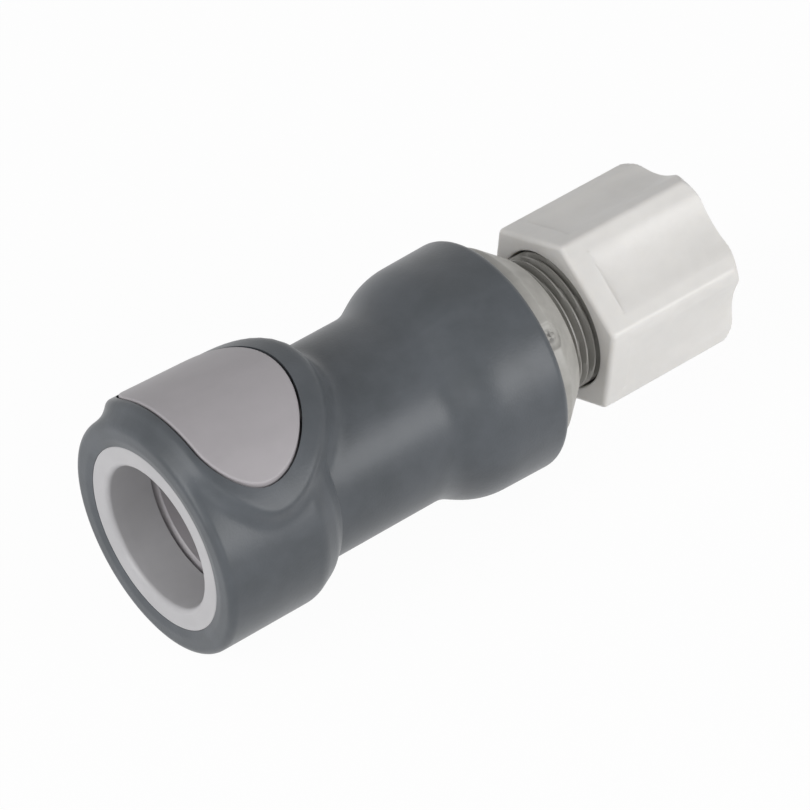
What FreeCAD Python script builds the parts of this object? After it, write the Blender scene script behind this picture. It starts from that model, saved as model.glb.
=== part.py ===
"""A plastic quick disconnect coupling: the socket half, with a thumb latch, a shut-off valve and a tube nut."""
import FreeCAD
import Part
import Sketcher
import math
import os
import re
from FreeCAD import Placement, Rotation, Vector

# Driving dimensions in millimetres. Stations run along the coupling's axis from the mouth's front face.
SIZES = [
    ("bore_start", 2.2, "the round lip's radius, and so the origin's station, where the bore wall begins"),
    ("bore_radius", 10.3, "bore that guides the insert, and the latch ring's hole"),
    ("mouth_land", 0.8, "flat of the mouth ring round the lip"),
    ("boot_front", -0.3, "front face of the boot"),
    ("mouth_depth", 2.6, "depth of the mouth ring in the boot's front wall"),
    ("head_wall", 2.0, "body round the latch ring's slot, under the boot's drum"),
    ("head_end", 17.5, "station where the body narrows to its neck"),
    ("neck_wall", 1.0, "body round the socket seal's groove, under the boot's waist"),
    ("neck_end", 41.0, "station where the body starts to widen again"),
    ("tail_start", 44.5, "station where the body's tail is full width"),
    ("tail_wall", 3.9, "body's tail round the valve guide's bore"),
    ("body_end", 50.0, "rear face of the body"),
    ("joint_gap", 0.05, "gap between pieces that are moulded on or pressed together"),
    ("latch_front", 7.2, "front face of the latch ring"),
    ("latch_thickness", 3.2, "latch ring along the axis"),
    ("latch_land", 2.3, "latch ring round its hole"),
    ("latch_chamfer", 0.9, "lead-in chamfer of the latch ring's hole"),
    ("slot_gap", 0.15, "clearance of the latch in its slot"),
    ("latch_rise", 1.8, "travel of the latch from open to locked"),
    ("button_front", 3.2, "front edge of the thumb button"),
    ("shield_centre", 9.8, "station where the button is widest"),
    ("button_rear", 21.45, "rear edge of the thumb button"),
    ("button_overhang", 1.3, "thumb button past the latch ring's side"),
    ("button_gap", 0.35, "gap round the button"),
    ("button_edge_round", 0.35, "edge radius of the button's top"),
    ("button_proud", 0.12, "height of the button over the boot's crown"),
    ("crown_front", 1.0, "station where the boot's crown is drawn from"),
    ("crown_front_rise", 1.83, "boot's crown round the button over the drum, at the front"),
    ("crown_rear", 26.0, "station where the boot's crown is drawn to"),
    ("crown_rear_rise", 1.02, "boot's crown round the button over the drum, at the rear"),
    ("pad_front", 1.9, "front edge of the raised pad round the button"),
    ("pad_rear", 25.0, "rear edge of the raised pad"),
    ("pad_margin", 2.4, "raised pad past the thumb button's side"),
    ("pad_base", 2.0, "height from which the raised pad is drawn, inside the drum"),
    ("pad_edge_round", 0.9, "edge radius of the raised pad"),
    ("drum_wall", 2.4, "boot's drum round the body"),
    ("drum_front_round", 1.1, "rounded front edge of the drum"),
    ("drum_end", 15.3, "station where the drum's rear rounding begins"),
    ("shoulder_station", 18.2, "station of the middle of the drum's rear rounding"),
    ("shoulder_drop", 1.35, "middle of the drum's rear rounding under the drum"),
    ("shoulder_round", 5.0, "roundness of the drum's rear"),
    ("step_station", 19.8, "station of the small step behind the drum"),
    ("step_height", 0.6, "small step behind the drum over the waist"),
    ("step_round", 0.3, "rounded edges of the small step"),
    ("waist_start", 20.2, "station where the waist begins"),
    ("waist_wall", 1.85, "boot's waist round the body"),
    ("waist_end", 40.0, "station where the waist ends"),
    ("waist_round", 1.5, "hollow fillet between the waist and the flare"),
    ("flare_start", 45.5, "station where the rear flare is wide"),
    ("flare_wall", 2.35, "rear flare's start round the body's tail"),
    ("flare_round", 9.0, "roundness of the rear flare"),
    ("rim_taper", 0.2, "rear flare's rim over its start"),
    ("boot_end", 56.5, "rear face of the boot"),
    ("rim_round", 1.2, "rounded rear rim of the boot"),
    ("tower_half_width", 8.0, "latch tower on top of the body, from the axis to its side"),
    ("tower_end", 22.4, "rear face of the latch tower"),
    ("tower_gap", 0.3, "gap between the latch tower and the button's underside"),
    ("tower_cover", 1.0, "wall of the latch tower over the latch pin's channel"),
    ("spring_station", 14.5, "station of the two latch springs"),
    ("spring_offset", 4.6, "latch spring from the middle plane"),
    ("spring_floor", 11.0, "height of the latch springs' pocket floor"),
    ("spring_seat", 1.4, "latch springs' seats under the button's underside"),
    ("spring_radius", 1.15, "latch springs to the middle of the wire"),
    ("spring_wire", 0.22, "radius of the latch springs' wire"),
    ("spring_turns", 4, "turns of each latch spring"),
    ("pocket_radius", 1.75, "spring pocket"),
    ("channel_wall", 0.8, "wall between the socket seal's groove and the latch pin's channel"),
    ("pin_radius", 1.6, "latch pin"),
    ("pin_gap", 0.1, "radial clearance of the latch pin in its channel"),
    ("pin_hole_gap", 0.15, "radial clearance of the latch pin in the latch"),
    ("pin_travel", 3.0, "travel of the latch pin"),
    ("pin_tip_radius", 0.15, "blunt end of the latch pin's cone"),
    ("pin_end", 14.6, "rear face of the latch pin"),
    ("pin_channel_end", 21.0, "station where the latch pin's channel is plugged"),
    ("foot_start", 11.0, "front face of the latch pin's foot"),
    ("foot_thickness", 1.4, "latch pin's foot along the axis"),
    ("foot_half_width", 0.8, "latch pin's foot from the middle plane"),
    ("foot_reach", 1.3, "how far the foot stands into the bore"),
    ("foot_gap", 0.15, "side clearance of the foot in its slot"),
    ("pin_spring_radius", 1.1, "pin spring to the middle of the wire"),
    ("pin_spring_wire", 0.22, "radius of the pin spring's wire"),
    ("pin_spring_turns", 5, "turns of the pin spring"),
    ("socket_end", 15.0, "station where the guide bore ends"),
    ("seal_bore_radius", 8.9, "bore for the insert's nose"),
    ("seal_groove_start", 17.0, "front wall of the socket seal's groove"),
    ("seal_groove_width", 2.4, "width of the socket seal's groove"),
    ("seal_groove_step", 0.6, "socket seal's groove past the guide bore"),
    ("socket_seal_section", 1.1, "radius of the socket seal's section"),
    ("throat_start", 22.5, "station where the valve throat begins"),
    ("throat_radius", 7.6, "valve throat"),
    ("seat_start", 25.0, "front edge of the conical valve seat"),
    ("chamber_step", 0.7, "valve chamber under the valve guide's bore"),
    ("chamber_end", 38.0, "station of the step that the valve guide seats on"),
    ("plug_bore_radius", 10.5, "bore for the valve guide and the adapter's plug"),
    ("poppet_front", 21.5, "front end of the poppet's nose"),
    ("poppet_nose_radius", 7.2, "poppet's nose in the throat"),
    ("poppet_nose_bore", 5.4, "hollow of the poppet's nose"),
    ("poppet_web", 24.2, "station of the web behind the hollow nose"),
    ("poppet_groove_start", 25.25, "front wall of the poppet seal's groove"),
    ("poppet_groove_width", 1.9, "width of the poppet seal's groove"),
    ("poppet_groove_radius", 6.6, "bottom of the poppet seal's groove"),
    ("poppet_seal_section", 0.9, "radius of the poppet seal's section"),
    ("poppet_seal_radius", 7.52, "poppet seal to the middle of its section"),
    ("poppet_seal_station", 26.23, "middle plane of the poppet seal"),
    ("poppet_head_gap", 1.1, "gap round the poppet's head for the flow"),
    ("poppet_head_end", 28.9, "rear face of the poppet's head"),
    ("stem_radius", 2.4, "poppet's stem"),
    ("stem_end", 42.5, "rear end of the poppet's stem"),
    ("stem_gap", 0.1, "radial clearance of the stem in the valve guide"),
    ("valve_travel", 5.0, "travel of the poppet"),
    ("nose_window_half_width", 1.6, "window in the poppet's nose, from its middle"),
    ("guide_thickness", 3.0, "valve guide's disc along the axis"),
    ("guide_hub_radius", 4.0, "valve guide's hub"),
    ("guide_hub_gap", 2.1, "gap between the poppet's head and the guide's hub once the valve is open"),
    ("flow_hole_radius", 1.9, "flow hole in the valve guide"),
    ("flow_hole_circle", 6.5, "flow holes from the axis"),
    ("flow_hole_count", 6, "flow holes in the valve guide"),
    ("valve_spring_radius", 5.3, "valve spring to the middle of the wire"),
    ("valve_spring_wire", 0.4, "radius of the valve spring's wire"),
    ("valve_spring_turns", 4, "turns of the valve spring"),
    ("plug_gap", 0.1, "radial clearance of the adapter's plug"),
    ("adapter_groove_start", 43.8, "front wall of the adapter seal's groove"),
    ("adapter_groove_width", 2.2, "width of the adapter seal's groove"),
    ("adapter_seal_section", 0.93, "radius of the adapter seal's section"),
    ("lock_ring_station", 48.0, "middle plane of the lock ring"),
    ("lock_ring_section", 0.6, "radius of the lock ring's wire"),
    ("lock_ring_mouth", 30, "angle that the split lock ring leaves open, in degrees"),
    ("plug_wall", 1.14, "adapter's plug under its seal's groove"),
    ("plug_mouth_end", 46.5, "station where the adapter's flow bore starts to narrow"),
    ("tube_step", 1.55, "adapter's flow bore under the bore that takes the tube"),
    ("flow_start", 50.5, "station where the adapter's flow bore is narrow"),
    ("collar_radius", 14.65, "adapter's collar behind the boot"),
    ("collar_ridge", 58.6, "station of the collar's ridge"),
    ("collar_end", 62.2, "rear edge of the collar's cone"),
    ("collar_end_step", 1.7, "collar's cone at its rear edge over the tube thread"),
    ("collar_round", 0.6, "rounding of the collar's ridge"),
    ("relief_depth", 0.85, "neck between the collar and the thread, under the thread"),
    ("thread_start", 63.6, "front end of the tube thread"),
    ("spigot_land", 1.55, "threaded spigot round the mouth of its conical seat"),
    ("spigot_end", 78.3, "rear face of the threaded spigot"),
    ("spigot_chamfer", 0.7, "chamfer of the spigot's end"),
    ("tube_radius", 6.45, "bore that takes the tube"),
    ("tube_stop", 66.0, "station where the tube stops"),
    ("cone_depth", 2.5, "depth of the conical seat for the ferrule"),
    ("cone_rise", 1.4, "conical seat from its bottom to its mouth"),
    ("cone_start", 0.45, "conical seat's bottom round the tube"),
    ("nut_front", 67.0, "front face of the tube nut"),
    ("nut_length", 22.8, "tube nut along the axis"),
    ("nut_side_wall", 2.1, "nut from its thread to a flat"),
    ("nut_turn", 13, "angle of the nut's first corner from the top, in degrees"),
    ("nut_corner_round", 1.0, "rounded corners of the nut"),
    ("nut_thread_gap", 0.3, "radial gap between the thread's crests and the nut"),
    ("nut_mouth_flare", 0.85, "countersink of the nut's front round its thread"),
    ("nut_mouth_depth", 0.9, "depth of the nut's countersink"),
    ("nut_thread_depth", 15.0, "depth of the nut's threaded bore"),
    ("nut_wall", 2.8, "nut's rear wall"),
    ("nut_hole_gap", 0.25, "gap round the tube in the nut's rear wall"),
    ("nut_hole_chamfer", 0.5, "chamfer of the hole in the nut's rear wall"),
    ("nut_rear_round", 2.0, "rounded rear ends of the nut's corners"),
    ("band_width", 3.4, "plain hexagon band at the nut's front"),
    ("scallop_half_width", 4.4, "hollow in each flat, from its middle"),
    ("scallop_depth", 0.9, "depth of the hollow in each flat"),
    ("ring_gap", 0.1, "gap between neighbours in the nut"),
    ("ring_width", 2.0, "clamp rings from the tube to their outside"),
    ("spacer_thickness", 0.9, "backing spacer"),
    ("grab_height", 1.2, "grab ring along the axis"),
    ("grab_metal", 0.35, "grab ring's metal"),
    ("grab_bend", 7.5, "radius where the grab ring's teeth bend off its rim"),
    ("grab_teeth", 12, "teeth of the grab ring"),
    ("grab_notch", 0.5, "notch between two teeth, from its middle"),
    ("ferrule_flange", 2.3, "ferrule's flange along the axis"),
    ("ferrule_cone", 2.5, "ferrule's cone along the axis"),
    ("reach", 30.0, "how far a cut is drawn past the outside"),
]

# Places that follow from the driving dimensions.
DERIVED = {
    "latch_rear": "latch_front + latch_thickness",
    "slot_front": "latch_front - slot_gap",
    "slot_rear": "latch_rear + slot_gap",
    "mouth_radius": "bore_radius + bore_start + mouth_land",
    "latch_half_width": "bore_radius + latch_land",
    "head_radius": "latch_half_width + head_wall",
    "seal_groove_radius": "bore_radius + seal_groove_step",
    "neck_radius": "seal_groove_radius + neck_wall",
    "tail_radius": "plug_bore_radius + tail_wall",
    "drum_radius": "head_radius + drum_wall",
    "shoulder_radius": "drum_radius - shoulder_drop",
    "waist_radius": "neck_radius + waist_wall",
    "step_radius": "waist_radius + step_height",
    "flare_radius": "tail_radius + flare_wall",
    "button_half_width": "latch_half_width + button_overhang",
    "pad_half_width": "button_half_width + pad_margin",
    "channel_radius": "pin_radius + pin_gap",
    "pin_height": "seal_groove_radius + channel_wall + channel_radius",
    "tower_radius": "pin_height + channel_radius + tower_cover",
    "button_underside": "tower_radius + tower_gap",
    "spring_top": "button_underside - spring_seat",
    "foot_bottom": "bore_radius - foot_reach",
    "crown_front_radius": "drum_radius + crown_front_rise",
    "crown_rear_radius": "drum_radius + crown_rear_rise",
    "crown_slope": "(crown_rear_radius - crown_front_radius) / (crown_rear - crown_front)",
    "button_rear_top": "crown_front_radius + crown_slope * (button_rear - crown_front) + button_proud",
    "button_wall_round": "min(button_edge_round; (button_rear_top - button_underside) / 2)",
    "rim_radius": "flare_radius + rim_taper",
    "seal_groove_end": "seal_groove_start + seal_groove_width",
    "chamber_radius": "plug_bore_radius - chamber_step",
    "seat_end": "seat_start + chamber_radius - throat_radius",
    "poppet_head_radius": "chamber_radius - poppet_head_gap",
    "poppet_groove_end": "poppet_groove_start + poppet_groove_width",
    "guide_hub_front": "poppet_head_end + valve_travel + guide_hub_gap",
    "guide_front": "chamber_end + joint_gap",
    "guide_rear": "guide_front + guide_thickness",
    "plug_front": "guide_rear + joint_gap",
    "plug_radius": "plug_bore_radius - plug_gap",
    "adapter_groove_end": "adapter_groove_start + adapter_groove_width",
    "flange_front": "body_end + joint_gap",
    "cone_throat_radius": "tube_radius + cone_start",
    "cone_mouth_radius": "cone_throat_radius + cone_rise",
    "thread_radius": "cone_mouth_radius + spigot_land",
    "relief_radius": "thread_radius - relief_depth",
    "collar_end_radius": "thread_radius + collar_end_step",
    "flow_radius": "tube_radius - tube_step",
    "ring_bore": "tube_radius",
    "ring_radius": "ring_bore + ring_width",
    "ferrule_tip_radius": "cone_throat_radius + joint_gap",
    "nut_rear": "nut_front + nut_length",
    "nut_bore_radius": "thread_radius + nut_thread_gap",
    "nut_mouth_radius": "nut_bore_radius + nut_mouth_flare",
    "nut_half_flats": "nut_bore_radius + nut_side_wall",
    "nut_cavity_radius": "ring_radius + ring_gap * 2",
    "nut_hole_radius": "tube_radius + nut_hole_gap",
    "nut_thread_end": "nut_front + nut_thread_depth",
    "nut_cavity_end": "nut_rear - nut_wall",
    "spacer_rear": "nut_cavity_end - ring_gap",
    "spacer_front": "spacer_rear - spacer_thickness",
    "grab_rear": "spacer_front - ring_gap",
    "grab_front": "grab_rear - grab_height",
    "ferrule_rear": "grab_front - ring_gap",
    "ferrule_step": "ferrule_rear - ferrule_flange",
    "ferrule_front": "ferrule_step - ferrule_cone",
    "pin_cone_start": "latch_rear",
    "pin_tip": "latch_rear - (pin_radius - pin_tip_radius) * pin_travel / latch_rise",
    "socket_seal_radius": "seal_groove_radius - joint_gap - socket_seal_section",
    "adapter_seal_radius": "plug_bore_radius - joint_gap - adapter_seal_section",
    "adapter_groove_radius": "adapter_seal_radius - adapter_seal_section - joint_gap",
    "plug_mouth_radius": "adapter_groove_radius - plug_wall",
    "lock_ring_radius": "plug_bore_radius - plug_gap / 2",
    "lock_groove_half": "lock_ring_section + joint_gap",
    "lock_groove_front": "lock_ring_station - lock_groove_half",
    "lock_groove_rear": "lock_ring_station + lock_groove_half",
    "nut_corner_radius": "nut_half_flats / cos(30)",
    "scallop_radius": "(scallop_half_width ^ 2 + scallop_depth ^ 2) / (2 * scallop_depth)",
    "cone_slope": "cone_rise / cone_depth",
    "ferrule_cone_radius": "ferrule_tip_radius + cone_slope * ferrule_cone",
    "seal_station": "seal_groove_start + seal_groove_width / 2",
    "adapter_seal_station": "adapter_groove_start + adapter_groove_width / 2",
}

NAMES = {name for name, number, meaning in SIZES}
EPSILON = 0.001

document = FreeCAD.newDocument("QuickDisconnect")


def fill_sheet():
    """Puts the driving dimensions in a spreadsheet, one row each."""
    sheet = document.addObject("Spreadsheet::Sheet", "Sizes")
    for row, (name, number, meaning) in enumerate(SIZES, start=1):
        sheet.set(f"A{row}", name)
        sheet.set(f"B{row}", str(number))
        sheet.set(f"C{row}", meaning)
        sheet.setAlias(f"B{row}", name)
    document.recompute()
    return sheet


sizes = fill_sheet()


def bound(text):
    """The text as an expression on the spreadsheet, with derived places written out."""
    def spell(match):
        name = match.group(0)
        if name in DERIVED:
            return "(" + bound(DERIVED[name]) + ")"
        if name in NAMES:
            return "Sizes." + name
        raise KeyError(name)
    return re.sub(r"[a-z_]{2,}\b(?!\()", spell, text)


def value(text):
    """The number that the text comes to."""
    return float(sizes.evalExpression(bound(text)))


def make_body(name, height=""):
    """An empty body whose stations count from the mouth, its axis raised by the height."""
    body = document.addObject("PartDesign::Body", name)
    body.Label = name
    body.setExpression("Placement.Base.x", "-Sizes.bore_start")
    if height:
        body.setExpression("Placement.Base.z", bound(height))
    return body


def make_sketch(body, name, role, offset="", turn=""):
    """An empty sketch on an origin plane of the body, moved along and turned about the plane's normal."""
    sketch = body.newObject("Sketcher::SketchObject", name)
    plane = [feature for feature in body.Origin.OriginFeatures if feature.Role == role][0]
    sketch.AttachmentSupport = (plane, [""])
    sketch.MapMode = "FlatFace"
    if turn:
        sketch.AttachmentOffset = Placement(Vector(), Rotation(Vector(0, 0, 1), value(turn)))
        sketch.setExpression("AttachmentOffset.Rotation.Angle", bound(turn))
    if offset:
        sketch.setExpression("AttachmentOffset.Base.z", bound(offset))
    return sketch


def pin_point(sketch, geometry, end, across, up):
    """Ties one point of a sketch to its two coordinates."""
    for kind, text in (("DistanceX", across), ("DistanceY", up)):
        if text is None:
            continue
        constraint = sketch.addConstraint(Sketcher.Constraint(kind, -1, 1, geometry, end, value(text)))
        sketch.setExpression(f"Constraints[{constraint}]", bound(text))


def draw_polygon(sketch, corners):
    """A closed outline of straight lines through corners given as pairs of expressions."""
    points = [Vector(value(across), value(up), 0) for across, up in corners]
    first = sketch.GeometryCount
    count = len(points)
    for index in range(count):
        sketch.addGeometry(Part.LineSegment(points[index], points[(index + 1) % count]), False)
    for index in range(count):
        following = first + (index + 1) % count
        sketch.addConstraint(Sketcher.Constraint("Coincident", first + index, 2, following, 1))
    for index, (across, up) in enumerate(corners):
        pin_point(sketch, first + index, 1, across, up)


def draw_circle(sketch, across, up, radius):
    """A circle whose centre and radius are expressions."""
    centre = Vector(value(across), value(up), 0)
    index = sketch.addGeometry(Part.Circle(centre, Vector(0, 0, 1), value(radius)), False)
    pin_point(sketch, index, 3, across, up)
    constraint = sketch.addConstraint(Sketcher.Constraint("Radius", index, value(radius)))
    sketch.setExpression(f"Constraints[{constraint}]", bound(radius))


def draw_path(sketch, pieces):
    """A closed outline of lines and arcs: each piece is its start and, for an arc, its centre and sense."""
    count = len(pieces)
    starts = [Vector(value(piece[0][0]), value(piece[0][1]), 0) for piece in pieces]
    reversed_arcs = []
    for index, piece in enumerate(pieces):
        start = starts[index]
        end = starts[(index + 1) % count]
        if len(piece) == 1:
            sketch.addGeometry(Part.LineSegment(start, end), False)
            continue
        centre = Vector(value(piece[1][0]), value(piece[1][1]), 0)
        circle = Part.Circle(centre, Vector(0, 0, 1), (start - centre).Length)
        angles = [math.atan2(point.y - centre.y, point.x - centre.x) for point in (start, end)]
        if piece[2] < 0:
            angles.reverse()
            reversed_arcs.append(index)
        sketch.addGeometry(Part.ArcOfCircle(circle, angles[0], angles[1]), False)
    for index in range(count):
        following = (index + 1) % count
        leave = 1 if index in reversed_arcs else 2
        arrive = 2 if following in reversed_arcs else 1
        sketch.addConstraint(Sketcher.Constraint("Coincident", index, leave, following, arrive))
    for index, piece in enumerate(pieces):
        pin_point(sketch, index, 2 if index in reversed_arcs else 1, *piece[0])
        if len(piece) > 1:
            flat = abs(starts[index].y - starts[(index + 1) % count].y)
            steep = abs(starts[index].x - starts[(index + 1) % count].x)
            across, up = piece[1]
            pin_point(sketch, index, 3, None if flat < steep else across, up if flat < steep else None)


def turn_solid(body, outline, name="Turned"):
    """A solid of revolution about the coupling's axis, from station and radius pairs."""
    sketch = make_sketch(body, name + "Outline", "XZ_Plane")
    draw_polygon(sketch, outline)
    feature = body.newObject("PartDesign::Revolution", name)
    feature.Profile = sketch
    feature.ReferenceAxis = (sketch, ["H_Axis"])
    feature.Angle = 360
    document.recompute()
    return feature


def turn_cut(body, outline, name):
    """A turned cut about the coupling's axis, from station and radius pairs."""
    before = body.Shape.Volume
    sketch = make_sketch(body, name + "Outline", "XZ_Plane")
    draw_polygon(sketch, outline)
    feature = body.newObject("PartDesign::Groove", name)
    feature.Profile = sketch
    feature.ReferenceAxis = (sketch, ["H_Axis"])
    feature.Angle = 360
    document.recompute()
    check_removed(body, before, name)
    return feature


def pad(body, sketch, length, name, backwards=False):
    """Adds a sketch's area, drawn out to a length."""
    feature = body.newObject("PartDesign::Pad", name)
    feature.Profile = sketch
    feature.setExpression("Length", bound(length))
    feature.Reversed = backwards
    document.recompute()
    return feature


def pocket(body, sketch, length, name, backwards=False):
    """Cuts a sketch's area to a depth."""
    before = body.Shape.Volume
    feature = body.newObject("PartDesign::Pocket", name)
    feature.Profile = sketch
    feature.setExpression("Length", bound(length))
    feature.Reversed = backwards
    document.recompute()
    check_removed(body, before, name)
    return feature


def check_removed(body, before, name):
    """Stops the build if a cut took nothing away."""
    if body.Shape.Volume > before - EPSILON:
        raise RuntimeError(f"{body.Label}: {name} cuts nothing")


def repeat_round_axis(body, feature, count, name):
    """Repeats a feature round the coupling's axis."""
    axis = [item for item in body.Origin.OriginFeatures if item.Role == "X_Axis"][0]
    pattern = body.newObject("PartDesign::PolarPattern", name)
    pattern.Originals = [feature]
    pattern.Axis = (axis, [""])
    pattern.Angle = 360
    pattern.setExpression("Occurrences", bound(count))
    body.Tip = pattern
    document.recompute()
    return pattern


def edge_names(shape, wanted):
    """Names of the shape's edges that the test accepts."""
    return [f"Edge{index}" for index, edge in enumerate(shape.Edges, start=1) if wanted(edge)]


def ring_edges(shape, station, radius):
    """Names of the circular edges about the axis at a station and radius."""
    def wanted(edge):
        curve = edge.Curve
        if not isinstance(curve, Part.Circle) or abs(curve.Radius - value(radius)) > EPSILON:
            return False
        off_axis = math.hypot(curve.Center.y, curve.Center.z)
        return abs(curve.Center.x - value(station)) < EPSILON and off_axis < EPSILON
    return edge_names(shape, wanted)


def round_edges(body, names, radius, name):
    """Rounds the named edges of a body."""
    if not names:
        raise RuntimeError(f"{body.Label}: {name} finds no edge")
    feature = body.newObject("PartDesign::Fillet", name)
    feature.Base = (body.Tip if body.Tip != feature else feature.BaseFeature, names)
    feature.setExpression("Radius", bound(radius))
    document.recompute()
    check_built(feature)
    return feature


def check_built(feature):
    """Stops the build if a feature did not come out."""
    if "Invalid" in feature.State or feature.Shape.isNull():
        raise RuntimeError(f"{feature.Name} does not build")


def chamfer_edges(body, names, size, name):
    """Chamfers the named edges of a body."""
    if not names:
        raise RuntimeError(f"{body.Label}: {name} finds no edge")
    feature = body.newObject("PartDesign::Chamfer", name)
    feature.Base = (body.Tip if body.Tip != feature else feature.BaseFeature, names)
    feature.setExpression("Size", bound(size))
    document.recompute()
    return feature


def draw_shield(sketch, front, rear, half_width):
    """The button's outline: a flat front with two round corners and half an ellipse behind."""
    corner = f"(shield_centre - ({front}))"
    inner = f"({half_width} - {corner})"
    near = f"-({inner})"
    centre = Vector(value("shield_centre"), 0, 0)
    half = value(half_width)
    sketch.addGeometry(Part.LineSegment(Vector(value(front), value(inner), 0),
                                        Vector(value(front), value(near), 0)), False)
    for side, start, end in ((near, math.pi, 1.5 * math.pi), (inner, 0.5 * math.pi, math.pi)):
        circle = Part.Circle(Vector(centre.x, value(side), 0), Vector(0, 0, 1), value(corner))
        sketch.addGeometry(Part.ArcOfCircle(circle, start, end), False)
    ellipse = Part.Ellipse(Vector(centre.x, half, 0), Vector(2 * centre.x - value(rear), 0, 0), centre)
    sketch.addGeometry(Part.ArcOfEllipse(ellipse, math.pi, 2 * math.pi), False)
    sketch.addGeometry(Part.Point(Vector(value(rear), 0, 0)), True)
    for first, first_end, second, second_end in ((0, 2, 1, 1), (2, 2, 0, 1), (3, 2, 2, 1), (3, 1, 1, 2)):
        sketch.addConstraint(Sketcher.Constraint("Coincident", first, first_end, second, second_end))
    sketch.exposeInternalGeometry(3)
    sketch.addConstraint(Sketcher.Constraint("Vertical", 5))
    pin_point(sketch, 0, 1, front, inner)
    pin_point(sketch, 0, 2, front, near)
    pin_point(sketch, 1, 3, None, near)
    pin_point(sketch, 2, 3, None, inner)
    pin_point(sketch, 3, 2, "shield_centre", half_width)
    pin_point(sketch, 3, 1, "shield_centre", None)
    pin_point(sketch, 3, 3, "shield_centre", None)
    pin_point(sketch, 4, 1, rear, None)
    sketch.addConstraint(Sketcher.Constraint("PointOnObject", 3, 3, -1))
    sketch.addConstraint(Sketcher.Constraint("PointOnObject", 4, 1, -1))
    sketch.addConstraint(Sketcher.Constraint("PointOnObject", 4, 1, 3))


def crown_at(station):
    """Radius of the boot's crown at a station."""
    front = value("crown_front")
    share = (station - front) / (value("crown_rear") - front)
    return value("crown_front_radius") + share * (value("crown_rear_radius") - value("crown_front_radius"))


def on_crown(edge, proud=0.0):
    """Whether an edge lies on the crown, which may stand proud, and is not its seam."""
    if isinstance(edge.Curve, Part.Line):
        return False
    places = [edge.valueAt(edge.FirstParameter + part * (edge.LastParameter - edge.FirstParameter))
              for part in (0.0, 0.3, 0.5, 0.8, 1.0)]
    return all(abs(math.hypot(place.y, place.z) - crown_at(place.x) - proud) < 0.02 for place in places)


def cut_crown(body, proud=""):
    """Cuts away what stands over the crown."""
    turn_cut(body, [("crown_front", "crown_front_radius" + proud), ("crown_rear", "crown_rear_radius" + proud),
                    ("crown_rear", "reach * 2"), ("crown_front", "reach * 2")], "CrownCut")


def make_boot():
    """The soft-touch sleeve: a drum with a raised pad round the button, a waist and a rear flare."""
    body = make_body("grip_boot")
    turn_solid(body, [("boot_front", "throat_radius"), ("boot_front", "drum_radius"),
                      ("drum_end", "drum_radius"), ("shoulder_station", "shoulder_radius"),
                      ("step_station", "step_radius"), ("waist_start", "waist_radius"),
                      ("waist_end", "waist_radius"), ("flare_start", "flare_radius"),
                      ("boot_end", "rim_radius"), ("boot_end", "throat_radius")])
    rounds = [("boot_front", "drum_radius", "drum_front_round", "FrontRound"),
              ("drum_end", "drum_radius", "shoulder_round", "DrumRound"),
              ("shoulder_station", "shoulder_radius", "shoulder_round", "ShoulderRound"),
              ("step_station", "step_radius", "step_round", "StepRound"),
              ("waist_start", "waist_radius", "step_round", "StepHollow"),
              ("waist_end", "waist_radius", "waist_round", "WaistRound"),
              ("flare_start", "flare_radius", "flare_round", "FlareRound"),
              ("boot_end", "rim_radius", "rim_round", "RimRound")]
    for station, radius, size, name in rounds:
        round_edges(body, ring_edges(body.Tip.Shape, station, radius), size, name)
    outline = make_sketch(body, "PadOutline", "XY_Plane", "pad_base")
    draw_shield(outline, "pad_front", "pad_rear", "pad_half_width")
    pad(body, outline, "reach", "ThumbPad")
    cut_crown(body)
    round_edges(body, edge_names(body.Tip.Shape, on_crown), "pad_edge_round", "PadRound")
    hollow_boot(body)
    return body


def hollow_boot(body):
    """Cuts the room for the body, the collar, the button and the latch tower out of the boot."""
    turn_cut(body, [("boot_front", "0"), ("boot_front", "mouth_radius + joint_gap"),
                    ("mouth_depth - joint_gap", "mouth_radius + joint_gap"),
                    ("mouth_depth - joint_gap", "head_radius + joint_gap"),
                    ("head_end + joint_gap", "head_radius + joint_gap"),
                    ("head_end + joint_gap", "neck_radius + joint_gap"),
                    ("neck_end", "neck_radius + joint_gap"), ("tail_start", "tail_radius + joint_gap"),
                    ("body_end", "tail_radius + joint_gap"), ("body_end", "collar_radius + joint_gap"),
                    ("boot_end", "collar_radius + joint_gap"), ("boot_end", "0")], "Hollow")
    opening = make_sketch(body, "OpeningOutline", "XY_Plane", "pad_base")
    draw_shield(opening, "button_front - button_gap", "button_rear + button_gap",
                "button_half_width + button_gap")
    pocket(body, opening, "reach", "ButtonOpening", backwards=True)
    tower = make_sketch(body, "TowerRoomOutline", "YZ_Plane", "slot_rear")
    draw_tower(tower, "(tower_half_width + joint_gap)", "(tower_radius + joint_gap)")
    pocket(body, tower, "tower_end + joint_gap - slot_rear", "TowerRoom", backwards=True)


def draw_tower(sketch, half_width, radius):
    """The latch tower's section: straight sides under a round top."""
    top = f"sqrt({radius} ^ 2 - {half_width} ^ 2)"
    draw_path(sketch, [(("-" + half_width, "throat_radius"),), ((half_width, "throat_radius"),),
                       ((half_width, top), ("0", "0"), 1), (("-" + half_width, top),)])


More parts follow.
